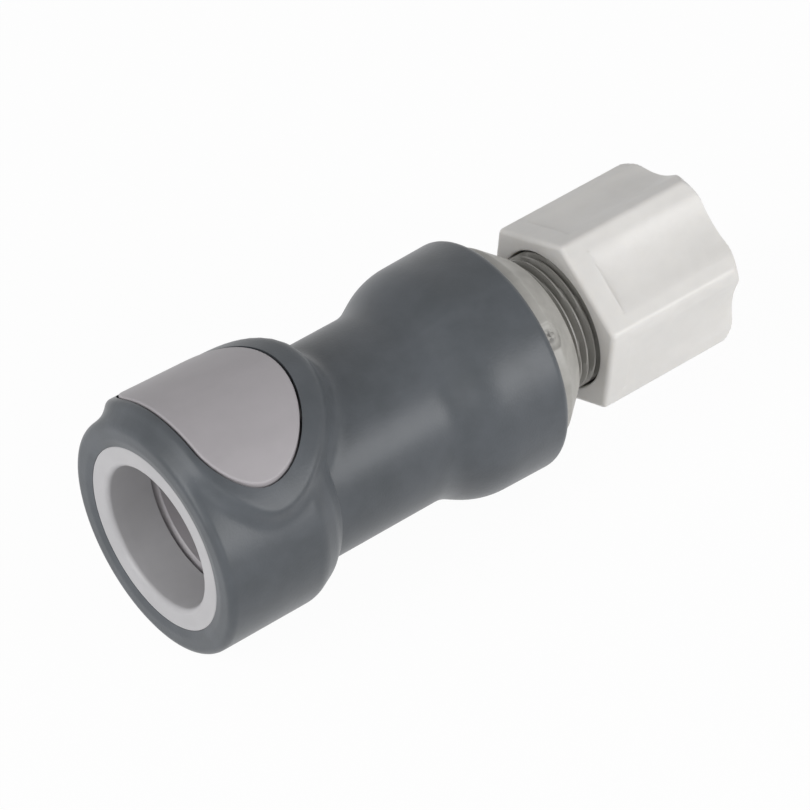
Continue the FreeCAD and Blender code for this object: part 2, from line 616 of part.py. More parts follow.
def make_coupling_body():
    """The moulded socket with its guide bore, latch slot, seal groove, valve seat and latch tower."""
    body = make_body("coupling_body")
    turn_solid(body, [("0", "throat_radius - 0.5"), ("0", "mouth_radius"), ("mouth_depth", "mouth_radius"),
                      ("mouth_depth", "head_radius"), ("head_end", "head_radius"), ("head_end", "neck_radius"),
                      ("neck_end", "neck_radius"), ("tail_start", "tail_radius"), ("body_end", "tail_radius"),
                      ("body_end", "throat_radius - 0.5")])
    tower = make_sketch(body, "TowerOutline", "YZ_Plane", "slot_rear")
    draw_tower(tower, "tower_half_width", "tower_radius")
    pad(body, tower, "tower_end - slot_rear", "Tower")
    turn_cut(body, [("0", "throat_radius - 1"), ("0", "bore_radius"),
                    ("socket_end", "bore_radius"), ("socket_end", "seal_bore_radius"),
                    ("seal_groove_start", "seal_bore_radius"), ("seal_groove_start", "seal_groove_radius"),
                    ("seal_groove_end", "seal_groove_radius"), ("seal_groove_end", "seal_bore_radius"),
                    ("throat_start", "seal_bore_radius"), ("throat_start", "throat_radius"),
                    ("seat_start", "throat_radius"), ("seat_end", "chamber_radius"),
                    ("chamber_end", "chamber_radius"), ("chamber_end", "plug_bore_radius"),
                    ("body_end", "plug_bore_radius"), ("body_end", "throat_radius - 1")], "Bore")
    round_edges(body, ring_edges(body.Tip.Shape, "0", "bore_radius"), "bore_start", "LipRound")
    lock = "lock_ring_radius + lock_groove_half"
    turn_cut(body, [("lock_groove_front", "plug_bore_radius - 1"), ("lock_groove_front", lock),
                    ("lock_groove_rear", lock), ("lock_groove_rear", "plug_bore_radius - 1")], "LockGroove")
    cut_latch_room(body)
    return body


def cut_latch_room(body):
    """Cuts the latch's slot, its spring pockets and the latch pin's channel."""
    slot = make_sketch(body, "SlotOutline", "YZ_Plane", "slot_front")
    side = "(latch_half_width + slot_gap)"
    draw_path(slot, [(("-" + side, "reach"),), (("-" + side, "0"), ("0", "0"), 1), ((side, "0"),),
                     ((side, "reach"),)])
    pocket(body, slot, "slot_rear - slot_front", "LatchSlot", backwards=True)
    springs = make_sketch(body, "SpringPocketOutline", "XY_Plane", "spring_floor")
    draw_circle(springs, "spring_station", "spring_offset", "pocket_radius")
    draw_circle(springs, "spring_station", "-spring_offset", "pocket_radius")
    pocket(body, springs, "reach", "SpringPockets", backwards=True)
    channel = make_sketch(body, "ChannelOutline", "YZ_Plane", "slot_front")
    draw_circle(channel, "0", "pin_height", "channel_radius")
    pocket(body, channel, "reach", "PinChannel", backwards=True)
    foot = make_sketch(body, "FootSlotOutline", "XY_Plane", "foot_bottom - 0.5")
    rear = "(foot_start + foot_thickness + pin_travel + foot_gap)"
    side = "(foot_half_width + foot_gap)"
    draw_polygon(foot, [("latch_rear", "-" + side), (rear, "-" + side), (rear, side), ("latch_rear", side)])
    pocket(body, foot, "pin_height - foot_bottom + 0.5", "FootSlot", backwards=True)


def make_thumb_latch():
    """The button, and the ring under it that catches the insert, as one moulding."""
    body = make_body("thumb_latch")
    outline = make_sketch(body, "ButtonOutline", "XY_Plane", "pad_base")
    draw_shield(outline, "button_front", "button_rear", "button_half_width")
    pad(body, outline, "reach", "Button")
    cut_crown(body, " + button_proud")
    turn_cut(body, [("button_front - 1", "0"), ("button_front - 1", "button_underside"),
                    ("button_rear + 1", "button_underside"), ("button_rear + 1", "0")], "Underside")
    proud = value("button_proud")
    names = edge_names(body.Tip.Shape, lambda edge: on_crown(edge, proud))
    round_edges(body, names, "button_wall_round", "ButtonRound")
    add_latch_ring(body)
    return body


def add_latch_ring(body):
    """Adds the latch ring and the two spring seats under the button, then bores them."""
    ring = make_sketch(body, "RingOutline", "YZ_Plane", "latch_front")
    top = "(button_underside + 0.4)"
    side = "latch_half_width"
    shoulder = f"sqrt({top} ^ 2 - {side} ^ 2)"
    draw_path(ring, [(("-" + side, "0"), ("0", "0"), 1), ((side, "0"),), ((side, shoulder), ("0", "0"), 1),
                     (("-" + side, shoulder),)])
    pad(body, ring, "latch_thickness", "Ring")
    seats = make_sketch(body, "SeatOutline", "XY_Plane", "spring_top")
    for offset in ("spring_offset", "-spring_offset"):
        draw_circle(seats, "spring_station", offset, "pocket_radius - slot_gap")
    pad(body, seats, "button_underside - spring_top", "SpringSeats")
    hole = make_sketch(body, "HoleOutline", "YZ_Plane", "latch_front")
    draw_circle(hole, "0", "0", "bore_radius")
    pocket(body, hole, "latch_thickness", "RingHole", backwards=True)
    pin_hole = make_sketch(body, "PinHoleOutline", "YZ_Plane", "latch_front")
    draw_circle(pin_hole, "0", "pin_height", "pin_radius + pin_hole_gap")
    pocket(body, pin_hole, "latch_thickness", "PinHole", backwards=True)
    chamfer_edges(body, ring_edges(body.Tip.Shape, "latch_front", "bore_radius"), "latch_chamfer", "LeadIn")


def make_latch_pin():
    """The pin that holds the latch down until the insert pushes its foot back."""
    body = make_body("latch_pin", "pin_height")
    turn_solid(body, [("pin_tip", "0"), ("pin_tip", "pin_tip_radius"), ("pin_cone_start", "pin_radius"),
                      ("pin_end", "pin_radius"), ("pin_end", "0")])
    foot = make_sketch(body, "FootOutline", "XY_Plane", "foot_bottom - pin_height")
    rear = "(foot_start + foot_thickness)"
    draw_polygon(foot, [("foot_start", "-foot_half_width"), (rear, "-foot_half_width"),
                        (rear, "foot_half_width"), ("foot_start", "foot_half_width")])
    pad(body, foot, "pin_height - foot_bottom", "Foot")
    return body


def make_pin_plug():
    """The small plug that shuts the latch pin's channel behind its spring."""
    body = make_body("pin_plug", "pin_height")
    turn_solid(body, [("pin_channel_end", "0"), ("pin_channel_end", "channel_radius - joint_gap"),
                      ("tower_end", "channel_radius - joint_gap"), ("tower_end", "0")])
    return body


def make_ring(name, station, radius, section, opening=""):
    """A ring of round section, left open over an angle if it is a split one."""
    body = make_body(name)
    sketch = make_sketch(body, "Section", "XZ_Plane")
    draw_circle(sketch, station, radius, section)
    feature = body.newObject("PartDesign::Revolution", "RingSolid")
    feature.Profile = sketch
    feature.ReferenceAxis = (sketch, ["H_Axis"])
    feature.setExpression("Angle", bound("360 - " + opening) if opening else "360")
    document.recompute()
    return body


def make_spring(name, radius, wire, turns, length, place, along_axis):
    """A coil spring between two seats, its first seat at the place given."""
    helix = document.addObject("Part::Helix", name + "_path")
    height = f"({length} - 2 * {wire})"
    helix.setExpression("Height", bound(height))
    helix.setExpression("Pitch", bound(f"{height} / {turns}"))
    helix.setExpression("Radius", bound(radius))
    helix.SegmentLength = 1
    section = document.addObject("Part::Circle", name + "_wire")
    section.setExpression("Radius", bound(wire))
    section.Placement = Placement(Vector(), Rotation(Vector(1, 0, 0), 90))
    section.setExpression("Placement.Base.x", bound(radius))
    spring = document.addObject("Part::Sweep", name)
    spring.Label = name
    spring.Sections = [section]
    spring.Spine = (helix, [])
    spring.Solid = True
    spring.Frenet = True
    across, side, up = place
    if along_axis:
        across = f"{across} + {wire}"
        spring.Placement = Placement(Vector(), Rotation(Vector(0, 1, 0), 90))
    else:
        up = f"{up} + {wire}"
    for axis, text in (("x", across + " - bore_start"), ("y", side), ("z", up)):
        spring.setExpression("Placement.Base." + axis, bound(text))
    document.recompute()
    return spring


def make_valve_poppet():
    """The poppet: a windowed nose, a seal groove, a head and a guide stem."""
    body = make_body("valve_poppet")
    turn_solid(body, [("poppet_web", "0"), ("poppet_web", "poppet_nose_bore"),
                      ("poppet_front", "poppet_nose_bore"), ("poppet_front", "poppet_nose_radius"),
                      ("poppet_groove_start", "poppet_nose_radius"),
                      ("poppet_groove_start", "poppet_groove_radius"),
                      ("poppet_groove_end", "poppet_groove_radius"),
                      ("poppet_groove_end", "poppet_head_radius"), ("poppet_head_end", "poppet_head_radius"),
                      ("poppet_head_end", "stem_radius"), ("stem_end", "stem_radius"), ("stem_end", "0")])
    window = make_sketch(body, "WindowOutline", "XY_Plane")
    side = "nose_window_half_width"
    draw_polygon(window, [("poppet_front", "-" + side), ("poppet_web", "-" + side), ("poppet_web", side),
                          ("poppet_front", side)])
    cut = pocket(body, window, "poppet_nose_radius + 1", "NoseWindow", backwards=True)
    repeat_round_axis(body, cut, "4", "NoseWindows")
    return body


def make_valve_guide():
    """The perforated disc that guides the poppet's stem and carries its spring."""
    body = make_body("valve_guide")
    turn_solid(body, [("guide_hub_front", "stem_radius + stem_gap"), ("guide_hub_front", "guide_hub_radius"),
                      ("guide_front", "guide_hub_radius"), ("guide_front", "plug_bore_radius - joint_gap"),
                      ("guide_rear", "plug_bore_radius - joint_gap"), ("guide_rear", "stem_radius + stem_gap")])
    hole = make_sketch(body, "FlowHoleOutline", "YZ_Plane", "guide_front")
    draw_circle(hole, "0", "flow_hole_circle", "flow_hole_radius")
    cut = pocket(body, hole, "guide_thickness", "FlowHole", backwards=True)
    repeat_round_axis(body, cut, "flow_hole_count", "FlowHoles")
    return body


def make_tail_adapter():
    """The rear moulding: a plug in the body, the collar behind the boot and the threaded tube spigot."""
    body = make_body("tail_adapter")
    turn_solid(body, [("plug_front", "plug_mouth_radius"), ("plug_front", "plug_radius"),
                      ("flange_front", "plug_radius"), ("flange_front", "collar_radius"),
                      ("collar_ridge", "collar_radius"), ("collar_end", "collar_end_radius"),
                      ("collar_end", "relief_radius"), ("thread_start", "relief_radius"),
                      ("thread_start", "thread_radius"), ("spigot_end", "thread_radius"),
                      ("spigot_end", "cone_mouth_radius"), ("spigot_end - cone_depth", "cone_throat_radius"),
                      ("spigot_end - cone_depth", "tube_radius"), ("tube_stop", "tube_radius"),
                      ("tube_stop", "flow_radius"), ("flow_start", "flow_radius"),
                      ("plug_mouth_end", "plug_mouth_radius")])
    turn_cut(body, [("adapter_groove_start", "adapter_groove_radius"),
                    ("adapter_groove_start", "plug_radius + 1"), ("adapter_groove_end", "plug_radius + 1"),
                    ("adapter_groove_end", "adapter_groove_radius")], "SealGroove")
    lock = "lock_ring_radius - lock_groove_half"
    turn_cut(body, [("lock_groove_front", lock), ("lock_groove_front", "plug_radius + 1"),
                    ("lock_groove_rear", "plug_radius + 1"), ("lock_groove_rear", lock)], "LockGroove")
    ridge = ring_edges(body.Tip.Shape, "collar_ridge", "collar_radius")
    round_edges(body, ridge, "collar_round", "RidgeRound")
    end = ring_edges(body.Tip.Shape, "spigot_end", "thread_radius")
    chamfer_edges(body, end, "spigot_chamfer", "SpigotChamfer")
    return body


def make_compression_nut():
    """The hexagon tube nut with a plain front band and a hollow down each flat."""
    body = make_body("compression_nut")
    hexagon = make_sketch(body, "HexagonOutline", "YZ_Plane", "nut_front", "nut_turn")
    draw_polygon(hexagon, [(f"nut_corner_radius * sin({60 * index})", f"nut_corner_radius * cos({60 * index})")
                           for index in range(6)])
    pad(body, hexagon, "nut_length", "Hexagon")
    length = value("nut_length")
    names = edge_names(body.Tip.Shape, lambda edge: abs(edge.Length - length) < EPSILON)
    round_edges(body, names, "nut_corner_round", "CornerRound")
    hollow = make_sketch(body, "ScallopOutline", "YZ_Plane", "nut_front + band_width", "nut_turn + 30")
    draw_circle(hollow, "0", "nut_half_flats - scallop_depth + scallop_radius", "scallop_radius")
    cut = pocket(body, hollow, "reach", "Scallop", backwards=True)
    repeat_round_axis(body, cut, "6", "Scallops")
    round_nut_rear(body)
    turn_cut(body, [("nut_front", "0"), ("nut_front", "nut_mouth_radius"),
                    ("nut_front + nut_mouth_depth", "nut_bore_radius"), ("nut_thread_end", "nut_bore_radius"),
                    ("nut_thread_end", "nut_cavity_radius"), ("nut_cavity_end", "nut_cavity_radius"),
                    ("nut_cavity_end", "nut_hole_radius"), ("nut_rear - nut_hole_chamfer", "nut_hole_radius"),
                    ("nut_rear", "nut_hole_radius + nut_hole_chamfer"), ("nut_rear", "0")], "NutBore")
    return body


def round_nut_rear(body):
    """Turns the rear ends of the nut's corners round."""
    before = body.Shape.Volume
    sketch = make_sketch(body, "RearRoundOutline", "XZ_Plane")
    start = "nut_rear - nut_rear_round"
    low = "nut_corner_radius - nut_rear_round"
    draw_path(sketch, [((start, "nut_corner_radius"), (start, low), -1), (("nut_rear", low),),
                       (("nut_rear + 1", low),), (("nut_rear + 1", "nut_corner_radius + 1"),),
                       ((start, "nut_corner_radius + 1"),)])
    feature = body.newObject("PartDesign::Groove", "RearRound")
    feature.Profile = sketch
    feature.ReferenceAxis = (sketch, ["H_Axis"])
    feature.Angle = 360
    document.recompute()
    check_removed(body, before, "RearRound")


def make_ferrule():
    """The conical ferrule that seals round the tube."""
    body = make_body("ferrule")
    turn_solid(body, [("ferrule_front", "ring_bore"), ("ferrule_front", "ferrule_tip_radius"),
                      ("ferrule_step", "ferrule_cone_radius"), ("ferrule_step", "ring_radius"),
                      ("ferrule_rear", "ring_radius"), ("ferrule_rear", "ring_bore")])
    return body


def make_grab_ring():
    """The toothed steel ring that keeps the tube from pulling out."""
    body = make_body("grab_ring")
    rim = "grab_rear - grab_metal"
    turn_solid(body, [(rim, "ring_radius"), ("grab_rear", "ring_radius"), ("grab_rear", "grab_bend"),
                      ("grab_front + grab_metal", "ring_bore"), ("grab_front", "ring_bore"),
                      (rim, "grab_bend")])
    notch = make_sketch(body, "NotchOutline", "YZ_Plane", "grab_front - 1")
    draw_polygon(notch, [("-grab_notch", "ring_bore - 1"), ("grab_notch", "ring_bore - 1"),
                         ("grab_notch", "grab_bend"), ("-grab_notch", "grab_bend")])
    cut = pocket(body, notch, "grab_height + 2", "Notch", backwards=True)
    repeat_round_axis(body, cut, "grab_teeth", "Notches")
    return body


def make_spacer():
    """The plain washer between the grab ring and the nut's rear wall."""
    body = make_body("spacer_ring")
    turn_solid(body, [("spacer_front", "ring_bore + ring_gap"), ("spacer_front", "ring_radius"),
                      ("spacer_rear", "ring_radius"), ("spacer_rear", "ring_bore + ring_gap")])
    return body


def make_springs():
    """The two latch springs, the latch pin's spring and the valve spring."""
    latch = ("spring_radius", "spring_wire", "spring_turns", "(spring_top - spring_floor - joint_gap)")
    floor = "spring_floor + joint_gap"
    near = make_spring("latch_spring_near", *latch, ("spring_station", "-spring_offset", floor), False)
    far = make_spring("latch_spring_far", *latch, ("spring_station", "spring_offset", floor), False)
    pin = make_spring("latch_pin_spring", "pin_spring_radius", "pin_spring_wire", "pin_spring_turns",
                      "(pin_channel_end - pin_end)", ("pin_end", "0", "pin_height"), True)
    valve = make_spring("valve_spring", "valve_spring_radius", "valve_spring_wire", "valve_spring_turns",
                        "(guide_front - poppet_head_end - joint_gap)", ("poppet_head_end", "0", "0"), True)
    return [near, far, pin, valve]


def make_all():
    """Every sub-part, from the mouth to the tube nut."""
    parts = [make_boot(), make_coupling_body(), make_thumb_latch(), make_latch_pin(), make_pin_plug()]
    parts += make_springs()
    parts.append(make_ring("socket_seal", "seal_station", "socket_seal_radius", "socket_seal_section"))
    parts.append(make_valve_poppet())
    parts.append(make_ring("poppet_seal", "poppet_seal_station", "poppet_seal_radius", "poppet_seal_section"))
    parts.append(make_valve_guide())
    parts.append(make_ring("adapter_seal", "adapter_seal_station", "adapter_seal_radius",
                           "adapter_seal_section"))
    parts.append(make_ring("lock_ring", "lock_ring_station", "lock_ring_radius", "lock_ring_section",
                           "lock_ring_mouth"))
    parts += [make_tail_adapter(), make_ferrule(), make_grab_ring(), make_spacer(), make_compression_nut()]
    return parts


def check_document():
    """Stops the build on any object that did not recompute."""
    for item in document.Objects:
        if "Invalid" in item.State or "Error" in item.State:
            raise RuntimeError(f"{item.Name} is {item.State}")


def write_parts(parts):
    """Writes each sub-part's shape to its own file."""
    os.makedirs("parts", exist_ok=True)
    for part in parts:
        shape = part.Shape
        if shape.isNull() or not shape.isValid() or len(shape.Solids) != 1:
            raise RuntimeError(f"{part.Label} is not one valid solid")
        shape.exportStep(f"parts/{part.Label}.step")


pieces = make_all()
document.recompute()
check_document()
write_parts(pieces)
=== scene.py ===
"""The looks of a moulded quick disconnect coupling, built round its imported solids.

Sizes are in millimetres and angles in radians, unless a name or a docstring says otherwise. A station is a distance
along the axis behind the mouth's lip, and an angle counts round the axis from the top.
"""

import logging
import math
from collections.abc import Mapping, Sequence
from dataclasses import dataclass
from enum import Enum

import bpy
import numpy as np
from mathutils import Matrix, Vector


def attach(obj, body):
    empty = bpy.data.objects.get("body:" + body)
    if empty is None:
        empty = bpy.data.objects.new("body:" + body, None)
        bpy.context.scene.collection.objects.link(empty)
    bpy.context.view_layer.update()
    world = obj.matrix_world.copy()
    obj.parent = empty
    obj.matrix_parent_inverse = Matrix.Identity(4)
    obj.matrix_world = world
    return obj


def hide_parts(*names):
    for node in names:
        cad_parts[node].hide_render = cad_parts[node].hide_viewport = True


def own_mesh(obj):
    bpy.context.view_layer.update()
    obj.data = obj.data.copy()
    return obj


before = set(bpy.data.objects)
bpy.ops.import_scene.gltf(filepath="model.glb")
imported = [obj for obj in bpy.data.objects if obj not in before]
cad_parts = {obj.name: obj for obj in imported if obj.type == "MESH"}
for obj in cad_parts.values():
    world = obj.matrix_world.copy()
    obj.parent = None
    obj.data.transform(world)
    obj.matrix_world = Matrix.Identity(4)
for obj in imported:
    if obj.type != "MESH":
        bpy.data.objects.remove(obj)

logger = logging.getLogger("coupling")

MM = 0.001
BORE_START = 2.2
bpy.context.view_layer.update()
WELD_MM = 0.002
SAME_POINT_MM = 1e-4
OBJECT_MIDDLE_M = (0.04, 0.0, 0.0)
Path = list[tuple[float, float]]
Colour = tuple[float, float, float, float]


class Shade:
    """A value in a material's maths, joined with Python's own operators."""

    def __init__(self, graph: "Graph", socket: bpy.types.NodeSocket) -> None:
        """Wraps one output socket of a graph."""
        self.graph = graph
        self.socket = socket

    def _join(self, operation: str, first: "Shade | float", second: "Shade | float") -> "Shade":
        """Adds one Math node.

        Args:
            operation: The node's operation.
            first: Its first value.
            second: Its second value.

        Returns:
            The node's result.
        """
        return self.graph.add("ShaderNodeMath", {"operation": operation}, {0: first, 1: second}, "Value")

    def __add__(self, other: "Shade | float") -> "Shade":
        """Sum."""
        return self._join("ADD", self, other)

    def __radd__(self, other: float) -> "Shade":
        """Sum with a number on the left."""
        return self._join("ADD", other, self)

    def __sub__(self, other: "Shade | float") -> "Shade":
        """Difference."""
        return self._join("SUBTRACT", self, other)

    def __rsub__(self, other: float) -> "Shade":
        """Difference from a number on the left."""
        return self._join("SUBTRACT", other, self)

    def __mul__(self, other: "Shade | float") -> "Shade":
        """Product."""
        return self._join("MULTIPLY", self, other)

    def larger(self, other: "Shade | float") -> "Shade":
        """The larger of two values."""
        return self._join("MAXIMUM", self, other)

    def step(self, low: float, high: float) -> "Shade":
        """A smooth step from 0 at low to 1 at high.

        Args:
            low: The value that gives 0.
            high: The value that gives 1.

        Returns:
            The stepped value.
        """
        return self.graph.add("ShaderNodeMapRange", {"interpolation_type": "SMOOTHSTEP"},
                              {"Value": self, "From Min": low, "From Max": high}, "Result")


class Graph:
    """The node tree of one material or world."""

    MIX_SHARE, MIX_FIRST, MIX_SECOND, MIX_RESULT = 0, 6, 7, 2

    def __init__(self, tree: bpy.types.NodeTree) -> None:
        """Starts from an empty tree."""
        self.tree = tree
        tree.nodes.clear()

    def add(self, kind: str, settings: Mapping[str, object], inputs: Mapping[str | int, object], out: str) -> Shade:
        """Adds any node.

        Args:
            kind: The node's type.
            settings: Its settings, set before its sockets.
            inputs: Values or links of its sockets, by name or number.
            out: The output wanted.

        Returns:
            That output.
        """
        node = self.tree.nodes.new(kind)
        for name, value in settings.items():
            setattr(node, name, value)
        for key, value in inputs.items():
            self.feed(node.inputs[key], value)
        return Shade(self, node.outputs[out])

    def feed(self, socket: bpy.types.NodeSocket, value: object) -> None:
        """Sets or links one socket.

        Args:
            socket: The input.
            value: A number, a colour or another node's output.
        """
        if isinstance(value, Shade):
            self.tree.links.new(value.socket, socket)
        else:
            socket.default_value = value

    def blend(self, share: Shade, first: object, second: object) -> Shade:
        """Mixes two colours.

        Args:
            share: How much of the second.
            first: The colour at 0.
            second: The colour at 1.

        Returns:
            The mixed colour.
        """
        node = self.tree.nodes.new("ShaderNodeMix")
        node.data_type = "RGBA"
        self.feed(node.inputs[self.MIX_SHARE], share)
        self.feed(node.inputs[self.MIX_FIRST], first)
        self.feed(node.inputs[self.MIX_SECOND], second)
        return Shade(self, node.outputs[self.MIX_RESULT])

    def place(self) -> Shade:
        """The place on the piece, in metres in its own frame."""
        return self.add("ShaderNodeTexCoord", {}, {}, "Object")

    def noise(self, size_mm: float, detail: float = 2.0, stretch: tuple[float, float, float] = (1.0, 1.0, 1.0),
              twist: float = 0.0) -> Shade:
        """A noise pattern fixed to the piece.

        Args:
            size_mm: The rough size of one blotch.
            detail: How many finer layers it has.
            stretch: How much denser it is along each axis.
            twist: How far its lookup is warped.

        Returns:
            The pattern, from 0 to 1.
        """
        mapped = self.add("ShaderNodeMapping", {}, {"Vector": self.place(), "Scale": stretch}, "Vector")
        return self.add("ShaderNodeTexNoise", {}, {"Vector": mapped, "Scale": 0.7 / (size_mm * MM), "Detail": detail,
                                                   "Distortion": twist}, "Fac")

    def station(self) -> Shade:
        """The distance behind the mouth, in millimetres."""
        across = self.add("ShaderNodeSeparateXYZ", {}, {"Vector": self.place()}, "X")
        return across * (1.0 / MM) + BORE_START

    def bumped(self, height: Shade, strength: float, depth_mm: float) -> Shade:
        """A normal bent by a height pattern.

        Args:
            height: The pattern.
            strength: How much of the bend is kept.
            depth_mm: The height of a full step.

        Returns:
            The bent normal.
        """
        return self.add("ShaderNodeBump", {}, {"Height": height, "Strength": strength, "Distance": depth_mm * MM},
                        "Normal")

    def seen(self) -> Shade:
        """Tells what the camera looks at from what only lights the object.

        Returns:
            1 for rays of the camera, of reflections and through clear pieces, else 0.
        """
        path = self.tree.nodes.new("ShaderNodeLightPath")
        camera, glossy, through = (Shade(self, path.outputs[f"Is {kind} Ray"])
                                   for kind in ("Camera", "Glossy", "Transmission"))
        return camera.larger(glossy).larger(through)

    def principled(self, colour: object, roughness: object, normal: Shade, fixed: Mapping[str, object]) -> None:
        """Adds the shader and the material's output.

        Args:
            colour: The base colour or its pattern.
            roughness: The roughness or its pattern.
            normal: The bumped normal.
            fixed: Values that are the same all over the surface.
        """
        varied = {"Base Color": colour, "Roughness": roughness, "Normal": normal}
        shader = self.add("ShaderNodeBsdfPrincipled", {}, {**varied, **fixed}, "BSDF")
        output = self.tree.nodes.new("ShaderNodeOutputMaterial")
        self.feed(output.inputs["Surface"], shader)


def blank_material(name: str) -> tuple[bpy.types.Material, Graph]:
    """Makes a material with no nodes yet.

    Args:
        name: Its name.

    Returns:
        The material and its graph.
    """
    made = bpy.data.materials.new(name)
    made.use_nodes = True
    return made, Graph(made.node_tree)


def srgb(red: int, green: int, blue: int) -> Colour:
    """A screen colour as the renderer's own linear one.

    Args:
        red: Red from 0 to 255.
        green: Green from 0 to 255.
        blue: Blue from 0 to 255.

    Returns:
        The linear colour with full alpha.
    """
    parts = [channel / 255 for channel in (red, green, blue)]
    linear = [part / 12.92 if part <= 0.04045 else ((part + 0.055) / 1.055) ** 2.4 for part in parts]
    return (linear[0], linear[1], linear[2], 1.0)


def scaled(colour: Colour, share: float) -> Colour:
    """A linear colour made lighter or darker.

    Args:
        colour: The colour.
        share: The factor on each channel.

    Returns:
        The new colour.
    """
    return (min(colour[0] * share, 1.0), min(colour[1] * share, 1.0), min(colour[2] * share, 1.0), 1.0)


@dataclass(frozen=True)
class GateMark:
    """A scorched, speckled spot where a moulding's gate was torn off."""

    centre_mm: tuple[float, float, float]
    core_mm: float = 0.45
    reach_mm: float = 1.3
    speckle_mm: float = 0.4
    strength: float = 0.85
    shade: float = 0.3

    def scorch(self, graph: Graph) -> Shade:
        """How scorched the plastic is at each place.

        Args:
            graph: The material's tree.

        Returns:
            The share of scorch, from 0 to 1.
        """
        gate = Vector(self.centre_mm) * MM
        away = graph.add("ShaderNodeVectorMath", {"operation": "DISTANCE"}, {0: graph.place(), 1: gate}, "Value")
        near = 1 - (away * (1.0 / MM)).step(self.core_mm, self.reach_mm)
        return near * graph.noise(self.speckle_mm, 3.0).step(0.42, 0.56) * self.strength


@dataclass(frozen=True)
class Moulded:
    """An injection-moulded plastic: faint flow mottling, a fine eroded grain, a soft gloss and, where set, painted
    shade behind a station.
    """

    name: str
    colour: Colour
    roughness: float = 0.42
    mottle: float = 0.04
    mottle_mm: float = 7.0
    grain_mm: float = 0.3
    grain_height_mm: float = 0.012
    specular: float = 0.45
    glow_mm: float = 0.0
    # Painted shade: the station it starts at, how dark it makes the colour, and how soft its edge is.
    painted_shade_from: float = 0.0
    painted_shade_share: float = 0.6
    painted_shade_edge_mm: float = 0.15
    gate: GateMark | None = None

    def material(self) -> bpy.types.Material:
        """Builds the material.

        Returns:
            The material, ready for a slot.
        """
        made, graph = blank_material(self.name)
        # Broad flow marks drawn out along the axis, with finer clouds over them.
        flow = graph.noise(self.mottle_mm, 3.0, (0.45, 1.0, 1.0), 0.6)
        cloud = graph.noise(self.mottle_mm * 0.22, 4.0)
        share = (flow * 0.7 + cloud * 0.3).step(0.3, 0.7)
        colour = graph.blend(share, scaled(self.colour, 1.0 - self.mottle), scaled(self.colour, 1.0 + self.mottle))
        # Painted shade: behind the given station the colour darkens, standing in for the shadow the nut and collar
        # cast on the thread.
        if self.painted_shade_from:
            behind = graph.station().step(self.painted_shade_from - self.painted_shade_edge_mm, self.painted_shade_from + self.painted_shade_edge_mm)
            colour = graph.blend(behind, colour, scaled(self.colour, self.painted_shade_share))
        if self.gate:
            colour = graph.blend(self.gate.scorch(graph), colour, scaled(self.colour, self.gate.shade))
        grain = graph.noise(self.grain_mm)
        bump = graph.bumped(grain + cloud * 0.8, 0.5, self.grain_height_mm)
        rough = grain * 0.06 + flow * 0.06 + (self.roughness - 0.06)
        fixed: dict[str, object] = {"Specular IOR Level": self.specular}
        if self.glow_mm:
            fixed |= {"Subsurface Weight": 0.4, "Subsurface Radius": (1.0, 0.95, 0.85),
                      "Subsurface Scale": self.glow_mm * MM}
        graph.principled(colour, rough, bump, fixed)
        return made


@dataclass(frozen=True)
class SoftGrip:
    """The boot's soft-touch elastomer: a stippled satin skin with dusty and rubbed-smooth patches, and painted glints
    on the stipple's tips.
    """

    name: str
    colour: Colour
    shadow: Colour
    roughness: float = 0.36
    stipple_mm: float = 0.24
    stipple_height_mm: float = 0.03
    patch_mm: float = 9.0
    haze_mm: float = 2.4

    def material(self) -> bpy.types.Material:
        """Builds the material.

        Returns:
            The material, ready for a slot.
        """
        made, graph = blank_material(self.name)
        stipple = graph.noise(self.stipple_mm, 3.0)
        patch = graph.noise(self.patch_mm, 4.0, (0.6, 1.0, 1.0), 0.8)
        haze = graph.noise(self.haze_mm, 5.0)
        share = (patch * 0.6 + haze * 0.4).step(0.32, 0.68)
        tone = graph.blend(share, self.shadow, self.colour)
        # Painted highlight: the stipple's highest tips are painted light, standing in for the lamps' glints on the
        # grain.
        painted_glint = stipple.step(0.66, 0.78) * 0.10
        colour = graph.blend(painted_glint, tone, scaled(self.colour, 2.2))
        bump = graph.bumped(stipple + haze * 0.5, 0.7, self.stipple_height_mm)
        rough = self.roughness + patch * 0.08 - stipple * 0.08
        graph.principled(colour, rough, bump, {"Specular IOR Level": 0.3, "Sheen Weight": 0.04,
                                               "Sheen Roughness": 0.5})
        return made


@dataclass(frozen=True)
class Wire:
    """Drawn stainless wire and strip, with fine lines along the drawing."""

    name: str
    colour: Colour
    roughness: float = 0.28
    line_mm: float = 0.12
    line_height_mm: float = 0.01
    smear_mm: float = 1.5

    def material(self) -> bpy.types.Material:
        """Builds the material.

        Returns:
            The material, ready for a slot.
        """
        made, graph = blank_material(self.name)
        lines = graph.noise(self.line_mm, 3.0, (1.0, 3.0, 3.0))
        smear = graph.noise(self.smear_mm, 3.0)
        colour = graph.blend(smear.step(0.3, 0.7), scaled(self.colour, 0.85), self.colour)
        bump = graph.bumped(lines, 0.3, self.line_height_mm)
        graph.principled(colour, lines * 0.12 + (self.roughness - 0.06), bump, {"Metallic": 1.0})
        return made


